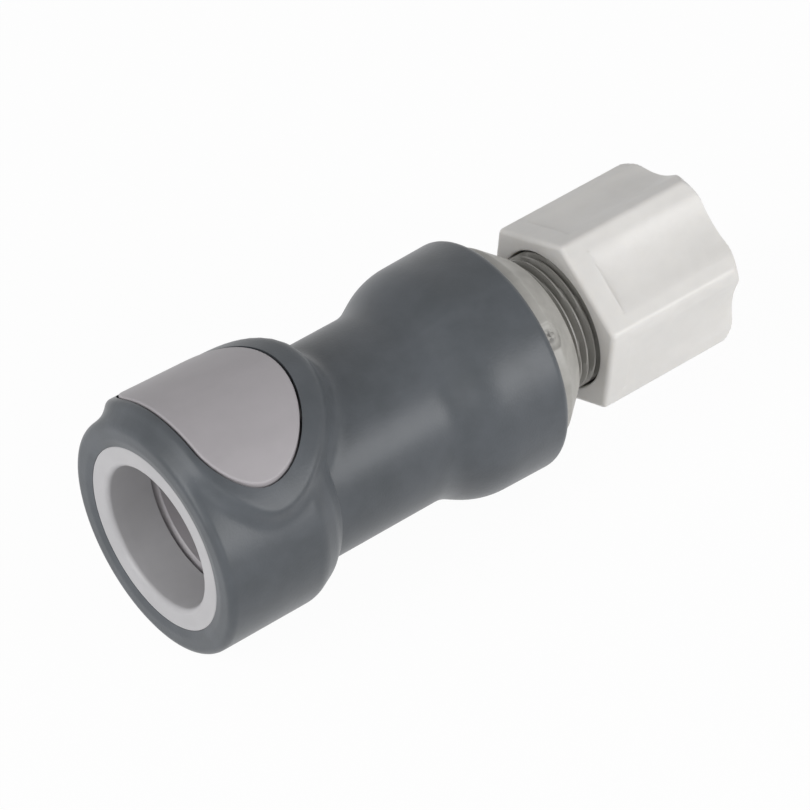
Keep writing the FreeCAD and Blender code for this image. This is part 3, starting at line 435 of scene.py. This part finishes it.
class Finish(Enum):
    """The object's finishes."""

    BOOT = SoftGrip("boot_skin", srgb(85, 89, 94), srgb(74, 78, 82))
    BODY = Moulded("body_plastic", srgb(179, 178, 180), roughness=0.40)
    LATCH = Moulded("latch_plastic", srgb(167, 163, 166), roughness=0.44)
    PIN = Moulded("pin_plastic", srgb(160, 160, 160))
    VALVE = Moulded("valve_plastic", srgb(188, 188, 186))
    # The thread behind station 63.3 gets painted shade, standing in for the shadow between the collar and the nut.
    ADAPTER = Moulded("adapter_plastic", srgb(173, 171, 166), roughness=0.40, mottle=0.14, mottle_mm=4.0,
                      painted_shade_from=63.3, painted_shade_share=0.72, gate=GateMark((55.7, -11.6, 8.4)))
    FERRULE = Moulded("ferrule_plastic", srgb(226, 224, 216))
    NUT = Moulded("nut_plastic", srgb(224, 222, 219), roughness=0.38, glow_mm=0.8)
    SEAL = Moulded("seal_rubber", srgb(38, 38, 38), roughness=0.55)
    STEEL = Wire("steel_wire", srgb(196, 194, 190))


class Wardrobe:
    """Makes each finish once and hands it out."""

    def __init__(self) -> None:
        """Starts with nothing made."""
        self.made: dict[Finish, bpy.types.Material] = {}

    def dress(self, piece: bpy.types.Object, finish: Finish) -> None:
        """Gives a piece its finish.

        Args:
            piece: The object.
            finish: The finish for all its faces.
        """
        if finish not in self.made:
            self.made[finish] = finish.value.material()
        if not piece.material_slots:
            piece.data.materials.append(None)
        for place in piece.material_slots:
            place.material = self.made[finish]


def deselect_all() -> None:
    """Leaves nothing selected."""
    bpy.ops.object.select_all(action="DESELECT")


def rounded(corners: Sequence[tuple[float, float, float]], arc_points: int = 7) -> Path:
    """A line through corners with each one rounded by its own radius.

    Args:
        corners: Station, radius and rounding of each corner, in millimetres.
        arc_points: Points along each rounding.

    Returns:
        The rounded line.
    """
    line: Path = []
    for index, (across, up, round_off) in enumerate(corners):
        here = Vector((across, up))
        if not round_off or index in (0, len(corners) - 1):
            line.append((across, up))
            continue
        before = (Vector(corners[index - 1][:2]) - here).normalized()
        after = (Vector(corners[index + 1][:2]) - here).normalized()
        half = before.angle(after) / 2
        reach = round_off / math.tan(half)
        centre = here + (before + after).normalized() * (round_off / math.sin(half))
        start, end = here + before * reach - centre, here + after * reach - centre
        for step in range(arc_points):
            spoke = start.normalized().slerp(end.normalized(), step / (arc_points - 1)) * round_off
            line.append((centre.x + spoke.x, centre.y + spoke.y))
    return line


def refined(line: Path, spacing: float, first: float = -1e9, last: float = 1e9) -> Path:
    """A line with extra points, so that none is further than the spacing from the next.

    Args:
        line: The line.
        spacing: The largest step, in millimetres.
        first: Station where the spacing starts to hold.
        last: Station where it stops.

    Returns:
        The refined line.
    """
    fine: Path = [line[0]]
    for start, end in zip(line, line[1:]):
        middle = (start[0] + end[0]) / 2
        length = math.dist(start, end)
        parts = max(1, math.ceil(length / spacing)) if first <= middle <= last else 1
        fine += [(start[0] + (end[0] - start[0]) * part / parts, start[1] + (end[1] - start[1]) * part / parts)
                 for part in range(1, parts + 1)]
    return fine


def joined(*lines: Path) -> Path:
    """Lines end to end as one closed section, with no doubled corners.

    Args:
        lines: The lines in order.

    Returns:
        The section.
    """
    section: Path = []
    for point in (point for line in lines for point in line):
        if not section or math.dist(point, section[-1]) > SAME_POINT_MM:
            section.append(point)
    if math.dist(section[0], section[-1]) < SAME_POINT_MM:
        section.pop()
    return section


def eased(share: np.ndarray) -> np.ndarray:
    """A share from 0 to 1 with both ends softened."""
    return share * share * (3 - 2 * share)


@dataclass
class Turned:
    """A piece spun from a closed section and then shaped away from round."""

    name: str
    body: str
    slot: str
    finish: Finish
    replaces: tuple[str, ...] = ()
    steps: int = 360
    sharp_degrees: float = 40.0

    def section(self) -> Path:
        """The closed section, as station and radius."""
        raise NotImplementedError

    def shaped(self, station: np.ndarray, angle: np.ndarray, radius: np.ndarray) -> np.ndarray:
        """The radius of each vertex once shaped.

        Args:
            station: Distance behind the mouth, in millimetres.
            angle: Angle round the axis from the top, in radians.
            radius: Radius as spun.

        Returns:
            The new radius.
        """
        return radius

    def build(self) -> bpy.types.Object:
        """Models the piece.

        Returns:
            The object.
        """
        piece = self.spin()
        self.shape(piece)
        self.finish_mesh(piece)
        return piece

    def spin(self) -> bpy.types.Object:
        """Lays a ring of vertices on the section and spins it round the axis.

        Returns:
            The object.
        """
        section = self.section()
        deselect_all()
        bpy.ops.mesh.primitive_circle_add(vertices=len(section), radius=0.01)
        piece = bpy.context.object
        piece.name = piece.data.name = self.name
        for vertex, (station, radius) in zip(piece.data.vertices, section):
            vertex.co = ((station - BORE_START) * MM, 0.0, radius * MM)
        bpy.ops.object.mode_set(mode="EDIT")
        bpy.ops.mesh.select_all(action="SELECT")
        bpy.ops.mesh.spin(steps=self.steps, angle=2 * math.pi, center=(0, 0, 0), axis=(1, 0, 0))
        bpy.ops.mesh.select_all(action="SELECT")
        bpy.ops.mesh.remove_doubles(threshold=WELD_MM * MM)
        bpy.ops.mesh.normals_make_consistent(inside=False)
        bpy.ops.object.mode_set(mode="OBJECT")
        return piece

    def shape(self, piece: bpy.types.Object) -> None:
        """Moves each vertex in or out to its shaped radius.

        Args:
            piece: The spun object.
        """
        count = len(piece.data.vertices)
        place = np.zeros(count * 3)
        piece.data.vertices.foreach_get("co", place)
        place = place.reshape(-1, 3) / MM
        station = place[:, 0] + BORE_START
        radius = np.hypot(place[:, 1], place[:, 2])
        angle = np.arctan2(-place[:, 1], place[:, 2])
        new = self.shaped(station, angle, radius)
        place[:, 1] = -new * np.sin(angle)
        place[:, 2] = new * np.cos(angle)
        piece.data.vertices.foreach_set("co", (place * MM).ravel())
        piece.data.update()

    def finish_mesh(self, piece: bpy.types.Object) -> None:
        """Smooths the shading between sharp edges.

        Args:
            piece: The shaped object.
        """
        deselect_all()
        piece.select_set(True)
        bpy.context.view_layer.objects.active = piece
        bpy.ops.object.shade_smooth_by_angle(angle=math.radians(self.sharp_degrees))

    def place(self, wardrobe: Wardrobe) -> bpy.types.Object:
        """Builds the piece, dresses it and hands it to its body.

        Args:
            wardrobe: Where its finish comes from.

        Returns:
            The object.
        """
        piece = self.build()
        wardrobe.dress(piece, self.finish)
        if self.replaces:
            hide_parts(*self.replaces)
        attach(piece, self.body)
        logger.info("%s: %d faces on %s", self.name, len(piece.data.polygons), self.body)
        return piece


@dataclass(frozen=True)
class Shield:
    """The plan outline of the button, its opening or its pad: a flat front and a long round back."""

    front: float
    rear: float
    half_width: float
    centre: float = 9.8

    def outline(self, points: int, flat_points: int = 12) -> Path:
        """The outline from the front's middle, along one side and back along the other.

        Args:
            points: Points along each quarter.
            flat_points: Points along each half of the flat front.

        Returns:
            Station and side offset of each point.
        """
        corner = self.centre - self.front
        inner = self.half_width - corner
        side = [(self.front, inner * part / flat_points) for part in range(flat_points)]
        side += [(self.centre - corner * math.cos(turn), inner + corner * math.sin(turn))
                 for turn in np.linspace(0, math.pi / 2, points)]
        side += [(self.centre + (self.rear - self.centre) * math.sin(turn), self.half_width * math.cos(turn))
                 for turn in np.linspace(0, math.pi / 2, points)[1:]]
        return side + [(station, -offset) for station, offset in side[-2:0:-1]]


@dataclass
class GripBoot(Turned):
    """The soft boot: a drum with a raised pad round the button, a waist and a flare."""

    name: str = "boot_shell"
    body: str = "housing"
    slot: str = "boot"
    finish: Finish = Finish.BOOT
    replaces: tuple[str, ...] = ("grip_boot",)
    pad: Shield = Shield(1.9, 25.0, 16.3)
    opening: Shield = Shield(2.85, 21.8, 14.25)
    crown_front: tuple[float, float] = (1.0, 18.83)
    crown_rear: tuple[float, float] = (26.0, 18.02)
    crown_middle: float = 17.9
    edge_drop: float = 0.25
    crest: float = 1.2
    foot: float = 1.5
    foot_slope: float = 0.85
    bend: float = 0.66
    pad_rear_limit: float = 30.0
    face: float = -0.3
    face_fade: float = 1.1
    rear: float = 56.5
    rim_radius: float = 15.95
    skin_depth: float = 0.05
    pad_span: tuple[float, float] = (-0.5, 27.0)
    spacing_at_pad: float = 0.3
    spacing: float = 0.7
    opening_low: float = 6.0
    opening_draw: float = 16.0
    room_front: float = 10.55
    room_length: float = 11.9
    room_half: float = 8.05
    room_radius: float = 16.15
    room_floor: float = 9.0
    room_points: int = 24

    def skin(self) -> Path:
        """The outer line from the mouth to the rear rim.

        Returns:
            The line, with finer points where the pad rises.
        """
        line = rounded([(-0.04, 13.35, 0), (self.face, 14.5, 2.5), (self.face, 17.0, 1.1), (15.3, 17.0, 4.0),
                        (18.2, 15.65, 5.0), (19.8, 14.35, 0.35), (20.2, 13.75, 0.35), (40.0, 13.75, 7.0),
                        (45.5, 16.75, 11.0), (self.rear, 16.95, 1.2), (self.rear, 14.7, 0)], 9)
        return refined(refined(line, self.spacing_at_pad, *self.pad_span), self.spacing)

    def section(self) -> Path:
        """The skin and the room inside it.

        Returns:
            The closed section.
        """
        room = [(50.0, 14.7), (50.0, 14.45), (44.5, 14.45), (41.0, 11.95), (17.55, 11.95), (17.55, 14.65),
                (2.55, 14.65), (2.55, 13.35)]
        return joined(self.skin(), room)

    def drum(self, station: np.ndarray) -> np.ndarray:
        """Radius of the plain skin at each station, read off the line between its two flat ends.

        Args:
            station: Distance behind the mouth.

        Returns:
            The radius.
        """
        behind_face = 1.0
        line = [point for point in self.skin()
                if point[1] > self.rim_radius or behind_face < point[0] < self.rear - self.skin_depth]
        return np.interp(station, [point[0] for point in line], [point[1] for point in line])

    def crown(self, station: np.ndarray) -> np.ndarray:
        """Radius of the pad's crown at each station."""
        return np.interp(station, [self.crown_front[0], self.crown_rear[0]], [self.crown_front[1], self.crown_rear[1]])

    def inside(self, station: np.ndarray, angle: np.ndarray) -> np.ndarray:
        """How far each place is inside the pad's outline along the skin, below 0 outside it.

        Args:
            station: Distance behind the mouth.
            angle: Angle from the top.

        Returns:
            The distance in millimetres.
        """
        # The plan outline is laid out flat on the crown, and a count of crossings tells inside from outside.
        line = []
        for place, offset in self.pad.outline(60):
            sine = offset / (self.crown(np.array(place)) - self.edge_drop)
            line.append((place, self.crown_middle * math.asin(max(-1.0, min(1.0, sine)))))
        start = np.array(line)
        run = np.roll(start, -1, axis=0) - start
        spot = np.stack([station, angle * self.crown_middle], axis=1)
        gap = np.full(len(spot), np.inf)
        crossings = np.zeros(len(spot), int)
        for (sx, sy), (dx, dy) in zip(start, run):
            share = np.clip(((spot[:, 0] - sx) * dx + (spot[:, 1] - sy) * dy) / (dx * dx + dy * dy), 0, 1)
            gap = np.minimum(gap, np.hypot(spot[:, 0] - sx - share * dx, spot[:, 1] - sy - share * dy))
            spans = (sy > spot[:, 1]) != (sy + dy > spot[:, 1])
            reach = sx + (spot[:, 1] - sy) * dx / (dy if dy else 1e-12)
            crossings += spans & (spot[:, 0] < reach)
        return np.where(crossings % 2 == 1, gap, -gap)

    def shaped(self, station: np.ndarray, angle: np.ndarray, radius: np.ndarray) -> np.ndarray:
        """Raises the pad out of the drum with a hollow foot and a soft crest.

        Args:
            station: Distance behind the mouth.
            angle: Angle from the top.
            radius: Radius as spun.

        Returns:
            The new radius.
        """
        base = self.drum(station)
        behind_face = station > self.face + 0.01
        outer = (radius > base - self.skin_depth) & behind_face & (station < self.pad_rear_limit)
        rise = self.crown(station) - base
        below = self.foot + self.foot_slope * rise
        share = np.clip((self.inside(station, angle) + below) / (below + self.crest), 0, 1)
        # The foot rises as a hollow cubic up to the bend, and the crest rounds off as a cubic past it.
        hollow, crest = share ** 3 / self.bend ** 2, 1 - (1 - share) ** 3 / (1 - self.bend) ** 2
        lift = np.where(share < self.bend, hollow, crest)
        lift = lift * np.clip((station - self.face) / self.face_fade, 0, 1)
        return np.where(outer & (rise > 0), radius + rise * lift, radius)

    def build(self) -> bpy.types.Object:
        """Models the boot and cuts the button's opening and the room for its plate.

        Returns:
            The object.
        """
        piece = self.spin()
        self.shape(piece)
        button = [(station, offset, self.opening_low) for station, offset in self.opening.outline(40)]
        self.cut(piece, button, (0.0, 0.0, self.opening_draw))
        front, half = self.room_front, self.room_half
        sides = [-half + 2 * half * part / self.room_points for part in range(self.room_points + 1)]
        room = [(front, side, math.sqrt(self.room_radius ** 2 - side ** 2)) for side in sides]
        room += [(front, half, self.room_floor), (front, -half, self.room_floor)]
        self.cut(piece, room, (self.room_length, 0.0, 0.0))
        self.finish_mesh(piece)
        return piece

    def cut(self, piece: bpy.types.Object, outline: Sequence[tuple[float, float, float]],
            draw: tuple[float, float, float]) -> None:
        """Cuts a straight-sided opening into the boot.

        Args:
            piece: The boot.
            outline: Station, side offset and height round one end of the opening.
            draw: How far and which way the opening is drawn out.
        """
        deselect_all()
        bpy.ops.mesh.primitive_circle_add(vertices=len(outline), radius=0.01, fill_type="NGON")
        cutter = bpy.context.object
        for vertex, (station, offset, height) in zip(cutter.data.vertices, outline):
            vertex.co = ((station - BORE_START) * MM, offset * MM, height * MM)
        bpy.ops.object.mode_set(mode="EDIT")
        bpy.ops.mesh.select_all(action="SELECT")
        bpy.ops.mesh.extrude_region_move(TRANSFORM_OT_translate={"value": Vector(draw) * MM})
        bpy.ops.mesh.select_all(action="SELECT")
        bpy.ops.mesh.normals_make_consistent(inside=False)
        bpy.ops.object.mode_set(mode="OBJECT")
        deselect_all()
        piece.select_set(True)
        bpy.context.view_layer.objects.active = piece
        carve = piece.modifiers.new("opening", "BOOLEAN")
        carve.operation = "DIFFERENCE"
        carve.solver = "EXACT"
        carve.object = cutter
        bpy.ops.object.modifier_apply(modifier=carve.name)
        bpy.data.objects.remove(cutter)


@dataclass
class MouthLip(Turned):
    """The flat front of the body's mouth ring, with its tight rounding into the bore."""

    name: str = "mouth_lip"
    body: str = "housing"
    slot: str = "body"
    finish: Finish = Finish.BODY
    front: float = -0.02
    outside: float = 13.2
    bore: float = 10.29
    rounding: float = 0.8

    def section(self) -> Path:
        """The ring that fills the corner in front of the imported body's wide rounding."""
        return rounded([(self.front, self.outside, 0), (self.front, self.bore, self.rounding), (2.4, self.bore, 0),
                        (2.5, 10.8, 0), (0.5, self.outside, 0)], 11)


@dataclass(frozen=True)
class GateDimple:
    """The shallow bowl on the collar where the gate was, with the torn vestige in it."""

    degrees: float = 54.0
    station: float = 58.2
    arm: float = 14.9
    half_round: float = 1.9
    half_along: float = 1.3
    bowl: float = 0.55
    wall_power: float = 0.4
    vestige: float = 0.45
    vestige_place: tuple[float, float] = (0.1, -0.3)
    vestige_half: tuple[float, float] = (0.5, 0.45)
    ripple: float = 0.1
    ripple_rate: tuple[float, float] = (7.0, 5.0)
    ripple_half: tuple[float, float] = (0.8, 0.6)

    def depth(self, station: np.ndarray, angle: np.ndarray) -> np.ndarray:
        """How deep the surface lies below the plain collar.

        Args:
            station: Distance behind the mouth.
            angle: Angle from the top.

        Returns:
            The depth in millimetres, below 0 where the vestige stands proud.
        """
        away = (angle - math.radians(self.degrees)) * self.arm
        along = station - self.station
        reach = np.hypot(away / self.half_round, along / self.half_along)
        bowl = self.bowl * np.clip(1 - reach ** 2, 0, 1) ** self.wall_power
        (aside, behind), (wide, long) = self.vestige_place, self.vestige_half
        torn = self.vestige * np.exp(-(((away - aside) / wide) ** 2 + ((along - behind) / long) ** 2))
        wave = np.sin(away * self.ripple_rate[0] + along * self.ripple_rate[1])
        fade = np.exp(-((away / self.ripple_half[0]) ** 2 + (along / self.ripple_half[1]) ** 2))
        return bowl - torn - self.ripple * wave * fade * (bowl > 0)


@dataclass
class TailAdapter(Turned):
    """The light rear moulding: plug, collar with its gate dimple, and the tube thread."""

    name: str = "adapter_threaded"
    body: str = "housing"
    slot: str = "adapter"
    finish: Finish = Finish.ADAPTER
    replaces: tuple[str, ...] = ("tail_adapter",)
    pitch: float = 1.27
    first_crest: float = 65.0
    crest_radius: float = 9.85
    root_radius: float = 8.7
    thread_inside: float = 8.4
    crest_share: float = 0.24
    flank_share: float = 0.42
    run_out_at_degrees: float = -40.0
    run_out_degrees: float = 7.0
    run_out_fade: float = 14.0
    thread_front: float = 63.6
    thread_rear: float = 78.3
    steps: int = 480
    collar_inside: float = 11.0
    collar_span: tuple[float, float] = (56.0, 63.0)
    dimple: GateDimple = GateDimple()
    spacings: tuple[tuple[float, float, float], ...] = ((0.1, 63.55, 69.5), (0.22, 69.5, 78.0), (0.13, 56.5, 62.0))

    def section(self) -> Path:
        """The adapter's walls, inside and out.

        Returns:
            The closed section, finest along the thread's front and round the dimple.
        """
        crest = self.crest_radius
        plug = [(41.1, 7.4), (41.1, 10.4), (43.8, 10.4), (43.8, 8.54), (46.0, 8.54), (46.0, 10.4), (47.35, 10.4),
                (47.35, 9.8), (48.65, 9.8), (48.65, 10.4), (50.05, 10.4)]
        collar = rounded([(50.05, 10.4, 0), (50.05, 14.65, 0), (58.6, 14.65, 0.6), (62.5, 11.45, 0.25),
                          (62.5, 9.0, 0.25), (self.thread_front, 9.0, 0), (self.thread_front, crest, 0),
                          (77.6, crest, 0), (self.thread_rear, 9.15, 0), (self.thread_rear, 8.3, 0)])
        for spacing, first, last in self.spacings:
            collar = refined(collar, spacing, first, last)
        bore = [(75.8, 6.9), (75.8, 6.45), (66.0, 6.45), (66.0, 4.9), (50.5, 4.9), (46.5, 7.4)]
        return joined(plug, collar, bore)

    def shaped(self, station: np.ndarray, angle: np.ndarray, radius: np.ndarray) -> np.ndarray:
        """Cuts the thread, with its run-out at the parting lines, and dents the collar at the gate.

        Args:
            station: Distance behind the mouth.
            angle: Angle from the top.
            radius: Radius as spun.

        Returns:
            The new radius.
        """
        along_thread = (station > self.thread_front - 0.01) & (station < self.thread_rear + 0.01)
        # A right-handed helix: whole turns are crests, and halves are roots.
        turn = (station - self.first_crest) / self.pitch - angle / (2 * math.pi)
        off_crest = np.abs(turn - np.round(turn)) * 2
        groove = eased(np.clip((off_crest - self.crest_share) / self.flank_share, 0, 1))
        past_line = angle - math.radians(self.run_out_at_degrees)
        from_line = np.degrees(np.abs((past_line + math.pi / 2) % math.pi - math.pi / 2))
        full = eased(np.clip((from_line - self.run_out_degrees) / self.run_out_fade, 0, 1))
        depth = (self.crest_radius - self.root_radius) * groove * full
        on_thread = (radius > self.thread_inside) & along_thread
        threaded = np.where(on_thread, np.minimum(radius, self.crest_radius - depth), radius)
        on_collar = (radius > self.collar_inside) & (station > self.collar_span[0]) & (station < self.collar_span[1])
        return threaded - np.where(on_collar, self.dimple.depth(station, angle), 0.0)


@dataclass
class TubeNut(Turned):
    """The hexagon nut with its plain front band and a hollow down each flat."""

    name: str = "nut_shell"
    body: str = "nut"
    slot: str = "nut"
    finish: Finish = Finish.NUT
    replaces: tuple[str, ...] = ("compression_nut",)
    sharp_degrees: float = 32.0
    steps: int = 432
    front: float = 67.0
    rear: float = 89.8
    flat: float = 12.25
    first_corner_degrees: float = 13.0
    corner_round: float = 1.0
    hollow_start: float = 70.4
    hollow_half: float = 4.4
    hollow_depth: float = 0.6
    hollow_deepening: float = 0.3
    hollow_soft: float = 0.34
    edge: float = 0.75
    rear_round: float = 2.0
    spacing: float = 0.5
    face_middle: float = 12.0
    outside_from: float = 11.9
    front_from: float = 11.2
    rear_from: float = 7.3

    def corner(self) -> float:
        """The radius of the hexagon's unrounded corners."""
        return self.flat / math.cos(math.pi / 6)

    def section(self) -> Path:
        """The nut's walls, with its outside drawn at the corners' radius.

        Returns:
            The closed section.
        """
        corner = self.corner()
        inner = rounded([(82.0, 10.15, 0), (self.front, 10.15, 0.35), (self.front, self.face_middle, 0)], 9)
        front = rounded([(self.front, self.face_middle, 0), (self.front, corner, self.edge),
                         (self.hollow_start - 0.02, corner, 0)], 9)
        rear = rounded([(self.hollow_start + 0.02, corner, 0), (self.rear, corner, self.rear_round),
                        (self.rear, 7.2, 0)], 9)
        bore = [(89.3, 6.7), (87.0, 6.7), (87.0, 8.65), (82.0, 8.65)]
        return joined(inner, refined(front, self.spacing), refined(rear, self.spacing), bore)

    def outside(self, station: np.ndarray, angle: np.ndarray) -> np.ndarray:
        """Radius of the hexagon with its rounded corners and hollows.

        Args:
            station: Distance behind the mouth.
            angle: Angle from the top.

        Returns:
            The radius.
        """
        sixth = math.pi / 3
        off_corner = (angle - math.radians(self.first_corner_degrees) + sixth / 2) % sixth - sixth / 2
        off_flat = sixth / 2 - np.abs(off_corner)
        centre = (self.flat - self.corner_round) / math.cos(math.pi / 6)
        sine = centre * np.sin(off_corner)
        arc = centre * np.cos(off_corner) + np.sqrt(np.maximum(self.corner_round ** 2 - sine ** 2, 0))
        tangent = math.atan2(self.corner_round / 2, centre + self.corner_round * math.cos(math.pi / 6))
        radius = np.where(np.abs(off_corner) < tangent, arc, self.flat / np.cos(off_flat))
        # A cylinder along each flat hollows it, deeper to the rear, and its edges are blended in softly.
        along = np.clip((station - self.hollow_start) / (self.rear - self.hollow_start), 0, 1)
        depth = self.hollow_depth + self.hollow_deepening * along
        bend = (self.hollow_half ** 2 + depth ** 2) / (2 * depth)
        middle = self.flat - depth + bend
        room = bend ** 2 - (middle * np.sin(off_flat)) ** 2
        no_hollow = 99.0
        hollow = np.where(room > 0, middle * np.cos(off_flat) - np.sqrt(np.maximum(room, 0)), no_hollow)
        soft = self.hollow_soft
        share = np.clip(0.5 + (hollow - radius) / (2 * soft), 0, 1)
        scooped = hollow * (1 - share) + radius * share - soft * share * (1 - share)
        return np.where(station > self.hollow_start, np.minimum(radius, scooped), radius)

    def shaped(self, station: np.ndarray, angle: np.ndarray, radius: np.ndarray) -> np.ndarray:
        """Draws the round blank in to the hexagon, and its two end faces with it.

        Args:
            station: Distance behind the mouth.
            angle: Angle from the top.
            radius: Radius as spun.

        Returns:
            The new radius.
        """
        corner = self.corner()
        reach = self.outside(station, angle)
        rounding = self.rear - self.rear_round
        drop = np.maximum(station - rounding, 0)
        limit = corner - self.rear_round + np.sqrt(np.maximum(self.rear_round ** 2 - drop ** 2, 0))
        side = np.where(station > rounding, np.minimum(reach, limit), reach - (corner - radius))
        start, top = self.front_from, corner - self.edge
        on_front = (station < self.front + 0.005) & (radius > start)
        face = start + (radius - start) / (top - start) * (reach - self.edge - start)
        start, top = self.rear_from, corner - self.rear_round
        on_rear = (station > self.rear - 0.005) & (radius > start)
        back = start + (radius - start) / (top - start) * (np.minimum(reach, top) - start)
        outer = radius > self.outside_from
        moved = np.where(outer & ~on_rear & ~on_front, side, radius)
        return np.where(on_front, face, np.where(on_rear, back, moved))


@dataclass(frozen=True)
class CoilSpring:
    """A coil spring along the axis, listed with its joint, its seat and its travel."""

    node: str
    joint: str
    seat: float
    travel: float

    def follow(self) -> None:
        """Gives the spring a mesh of its own."""
        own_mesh(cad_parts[self.node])


@dataclass(frozen=True)
class Internals:
    """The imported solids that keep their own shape, and the finish of each."""

    finishes: tuple[tuple[str, Finish], ...] = (
        ("coupling_body", Finish.BODY), ("thumb_latch", Finish.LATCH), ("latch_pin", Finish.PIN),
        ("pin_plug", Finish.BODY), ("valve_poppet", Finish.VALVE), ("valve_guide", Finish.VALVE),
        ("socket_seal", Finish.SEAL), ("poppet_seal", Finish.SEAL), ("adapter_seal", Finish.SEAL),
        ("latch_spring_near", Finish.STEEL), ("latch_spring_far", Finish.STEEL), ("latch_pin_spring", Finish.STEEL),
        ("valve_spring", Finish.STEEL), ("lock_ring", Finish.STEEL), ("grab_ring", Finish.STEEL),
        ("ferrule", Finish.FERRULE), ("spacer_ring", Finish.FERRULE), ("grip_boot", Finish.BOOT),
        ("tail_adapter", Finish.ADAPTER), ("compression_nut", Finish.NUT))
    springs: tuple[CoilSpring, ...] = (CoilSpring("latch_pin_spring", "pin_push", 21.0, 3.0),
                                       CoilSpring("valve_spring", "valve_open", 38.05, 5.0))

    def dress(self, wardrobe: Wardrobe) -> None:
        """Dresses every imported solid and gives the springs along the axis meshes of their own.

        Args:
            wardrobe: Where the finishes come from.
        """
        for node, finish in self.finishes:
            wardrobe.dress(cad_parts[node], finish)
            logger.info("%s: dressed as %s", node, finish.name)
        for spring in self.springs:
            spring.follow()


@dataclass(frozen=True)
class Lamp:
    """One soft round lamp aimed at the object's middle, its place and width in metres and its power in watts."""

    name: str
    place: tuple[float, float, float]
    power: float
    width: float = 0.6

    def hang(self) -> None:
        """Adds the lamp."""
        bpy.ops.object.light_add(type="AREA", location=self.place)
        lamp = bpy.context.object
        lamp.name = self.name
        aim = Vector(OBJECT_MIDDLE_M) - Vector(self.place)
        lamp.rotation_euler = aim.to_track_quat("-Z", "Y").to_euler()
        lamp.data.shape = "DISK"
        lamp.data.size = self.width
        lamp.data.energy = self.power


@dataclass(frozen=True)
class Studio:
    """The camera at the photograph's place, a pale floor and soft light."""

    target_station: float = 41.89
    distance_mm: float = 750.0
    drop_mm: float = 0.70
    lens: float = 250.49
    roll_degrees: float = 7.0
    back: tuple[float, float, float] = (-0.4540, -0.5644, 0.6896)
    right: tuple[float, float, float] = (0.7793, -0.6266, 0.0)
    floor_height: float = -17.0
    floor_width_m: float = 6.0
    paper: float = 0.86
    floor_glow: float = 0.965
    sky_fill: float = 0.32
    lamps: tuple[Lamp, ...] = (Lamp("softbox_side", (0.44, -0.87, 0.2), 5.0),
                               Lamp("softbox_mouth", (-0.98, 0.0, 0.2), 3.0),
                               Lamp("softbox_over_mouth", (-0.8, 0.0, 0.6), 3.6),
                               Lamp("softbox_front", (-0.52, -0.8, 0.28), 1.2))

    def camera(self) -> None:
        """Places the camera."""
        turn = Matrix.Rotation(math.radians(self.roll_degrees), 3, "X")
        back = (turn @ Vector(self.back)).normalized()
        right = (turn @ Vector(self.right)).normalized()
        up = back.cross(right)
        place = Vector((self.target_station - BORE_START, 0, 0)) + back * self.distance_mm - up * self.drop_mm
        bpy.ops.object.camera_add(location=place * MM)
        camera = bpy.context.object
        camera.rotation_euler = Matrix((right, up, back)).transposed().to_euler()
        camera.data.lens = self.lens
        camera.data.sensor_width = 36.0
        camera.data.clip_start = 0.01
        camera.data.clip_end = 20.0
        bpy.context.scene.camera = camera

    def floor(self) -> None:
        """Lays a pale floor that stays white to the camera and takes a faint shadow."""
        deselect_all()
        place = (OBJECT_MIDDLE_M[0], 0, self.floor_height * MM)
        bpy.ops.mesh.primitive_plane_add(size=self.floor_width_m, location=place)
        floor = bpy.context.object
        floor.name = "studio_floor"
        made, graph = blank_material("studio_paper")
        paper = graph.add("ShaderNodeBsdfDiffuse", {}, {"Color": (self.paper, self.paper, self.paper, 1.0)}, "BSDF")
        light = graph.add("ShaderNodeEmission", {}, {"Color": (1.0, 1.0, 1.0, 1.0), "Strength": 1.0}, "Emission")
        mixed = graph.add("ShaderNodeMixShader", {}, {0: graph.seen() * self.floor_glow, 1: paper, 2: light}, "Shader")
        output = graph.tree.nodes.new("ShaderNodeOutputMaterial")
        graph.feed(output.inputs["Surface"], mixed)
        floor.data.materials.append(made)

    def sky(self) -> None:
        """Surrounds the scene with even white light, dimmer on the object than to the camera."""
        world = bpy.data.worlds.new("studio_sky")
        world.use_nodes = True
        bpy.context.scene.world = world
        graph = Graph(world.node_tree)
        strength = self.sky_fill + graph.seen() * (1 - self.sky_fill)
        ground = graph.add("ShaderNodeBackground", {}, {"Color": (1.0, 1.0, 1.0, 1.0), "Strength": strength},
                           "Background")
        output = graph.tree.nodes.new("ShaderNodeOutputWorld")
        graph.feed(output.inputs["Surface"], ground)

    def build(self) -> None:
        """Sets up the whole studio."""
        self.camera()
        self.sky()
        self.floor()
        for lamp in self.lamps:
            lamp.hang()
        bpy.context.scene.view_settings.view_transform = "Standard"


def main() -> None:
    """Builds the studio, then the dressed coupling piece by piece."""
    logging.basicConfig(level=logging.INFO, format="%(name)s %(message)s")
    Studio().build()
    wardrobe = Wardrobe()
    Internals().dress(wardrobe)
    for piece in (GripBoot(), MouthLip(), TailAdapter(), TubeNut()):
        piece.place(wardrobe)


if __name__ == "__main__":
    main()
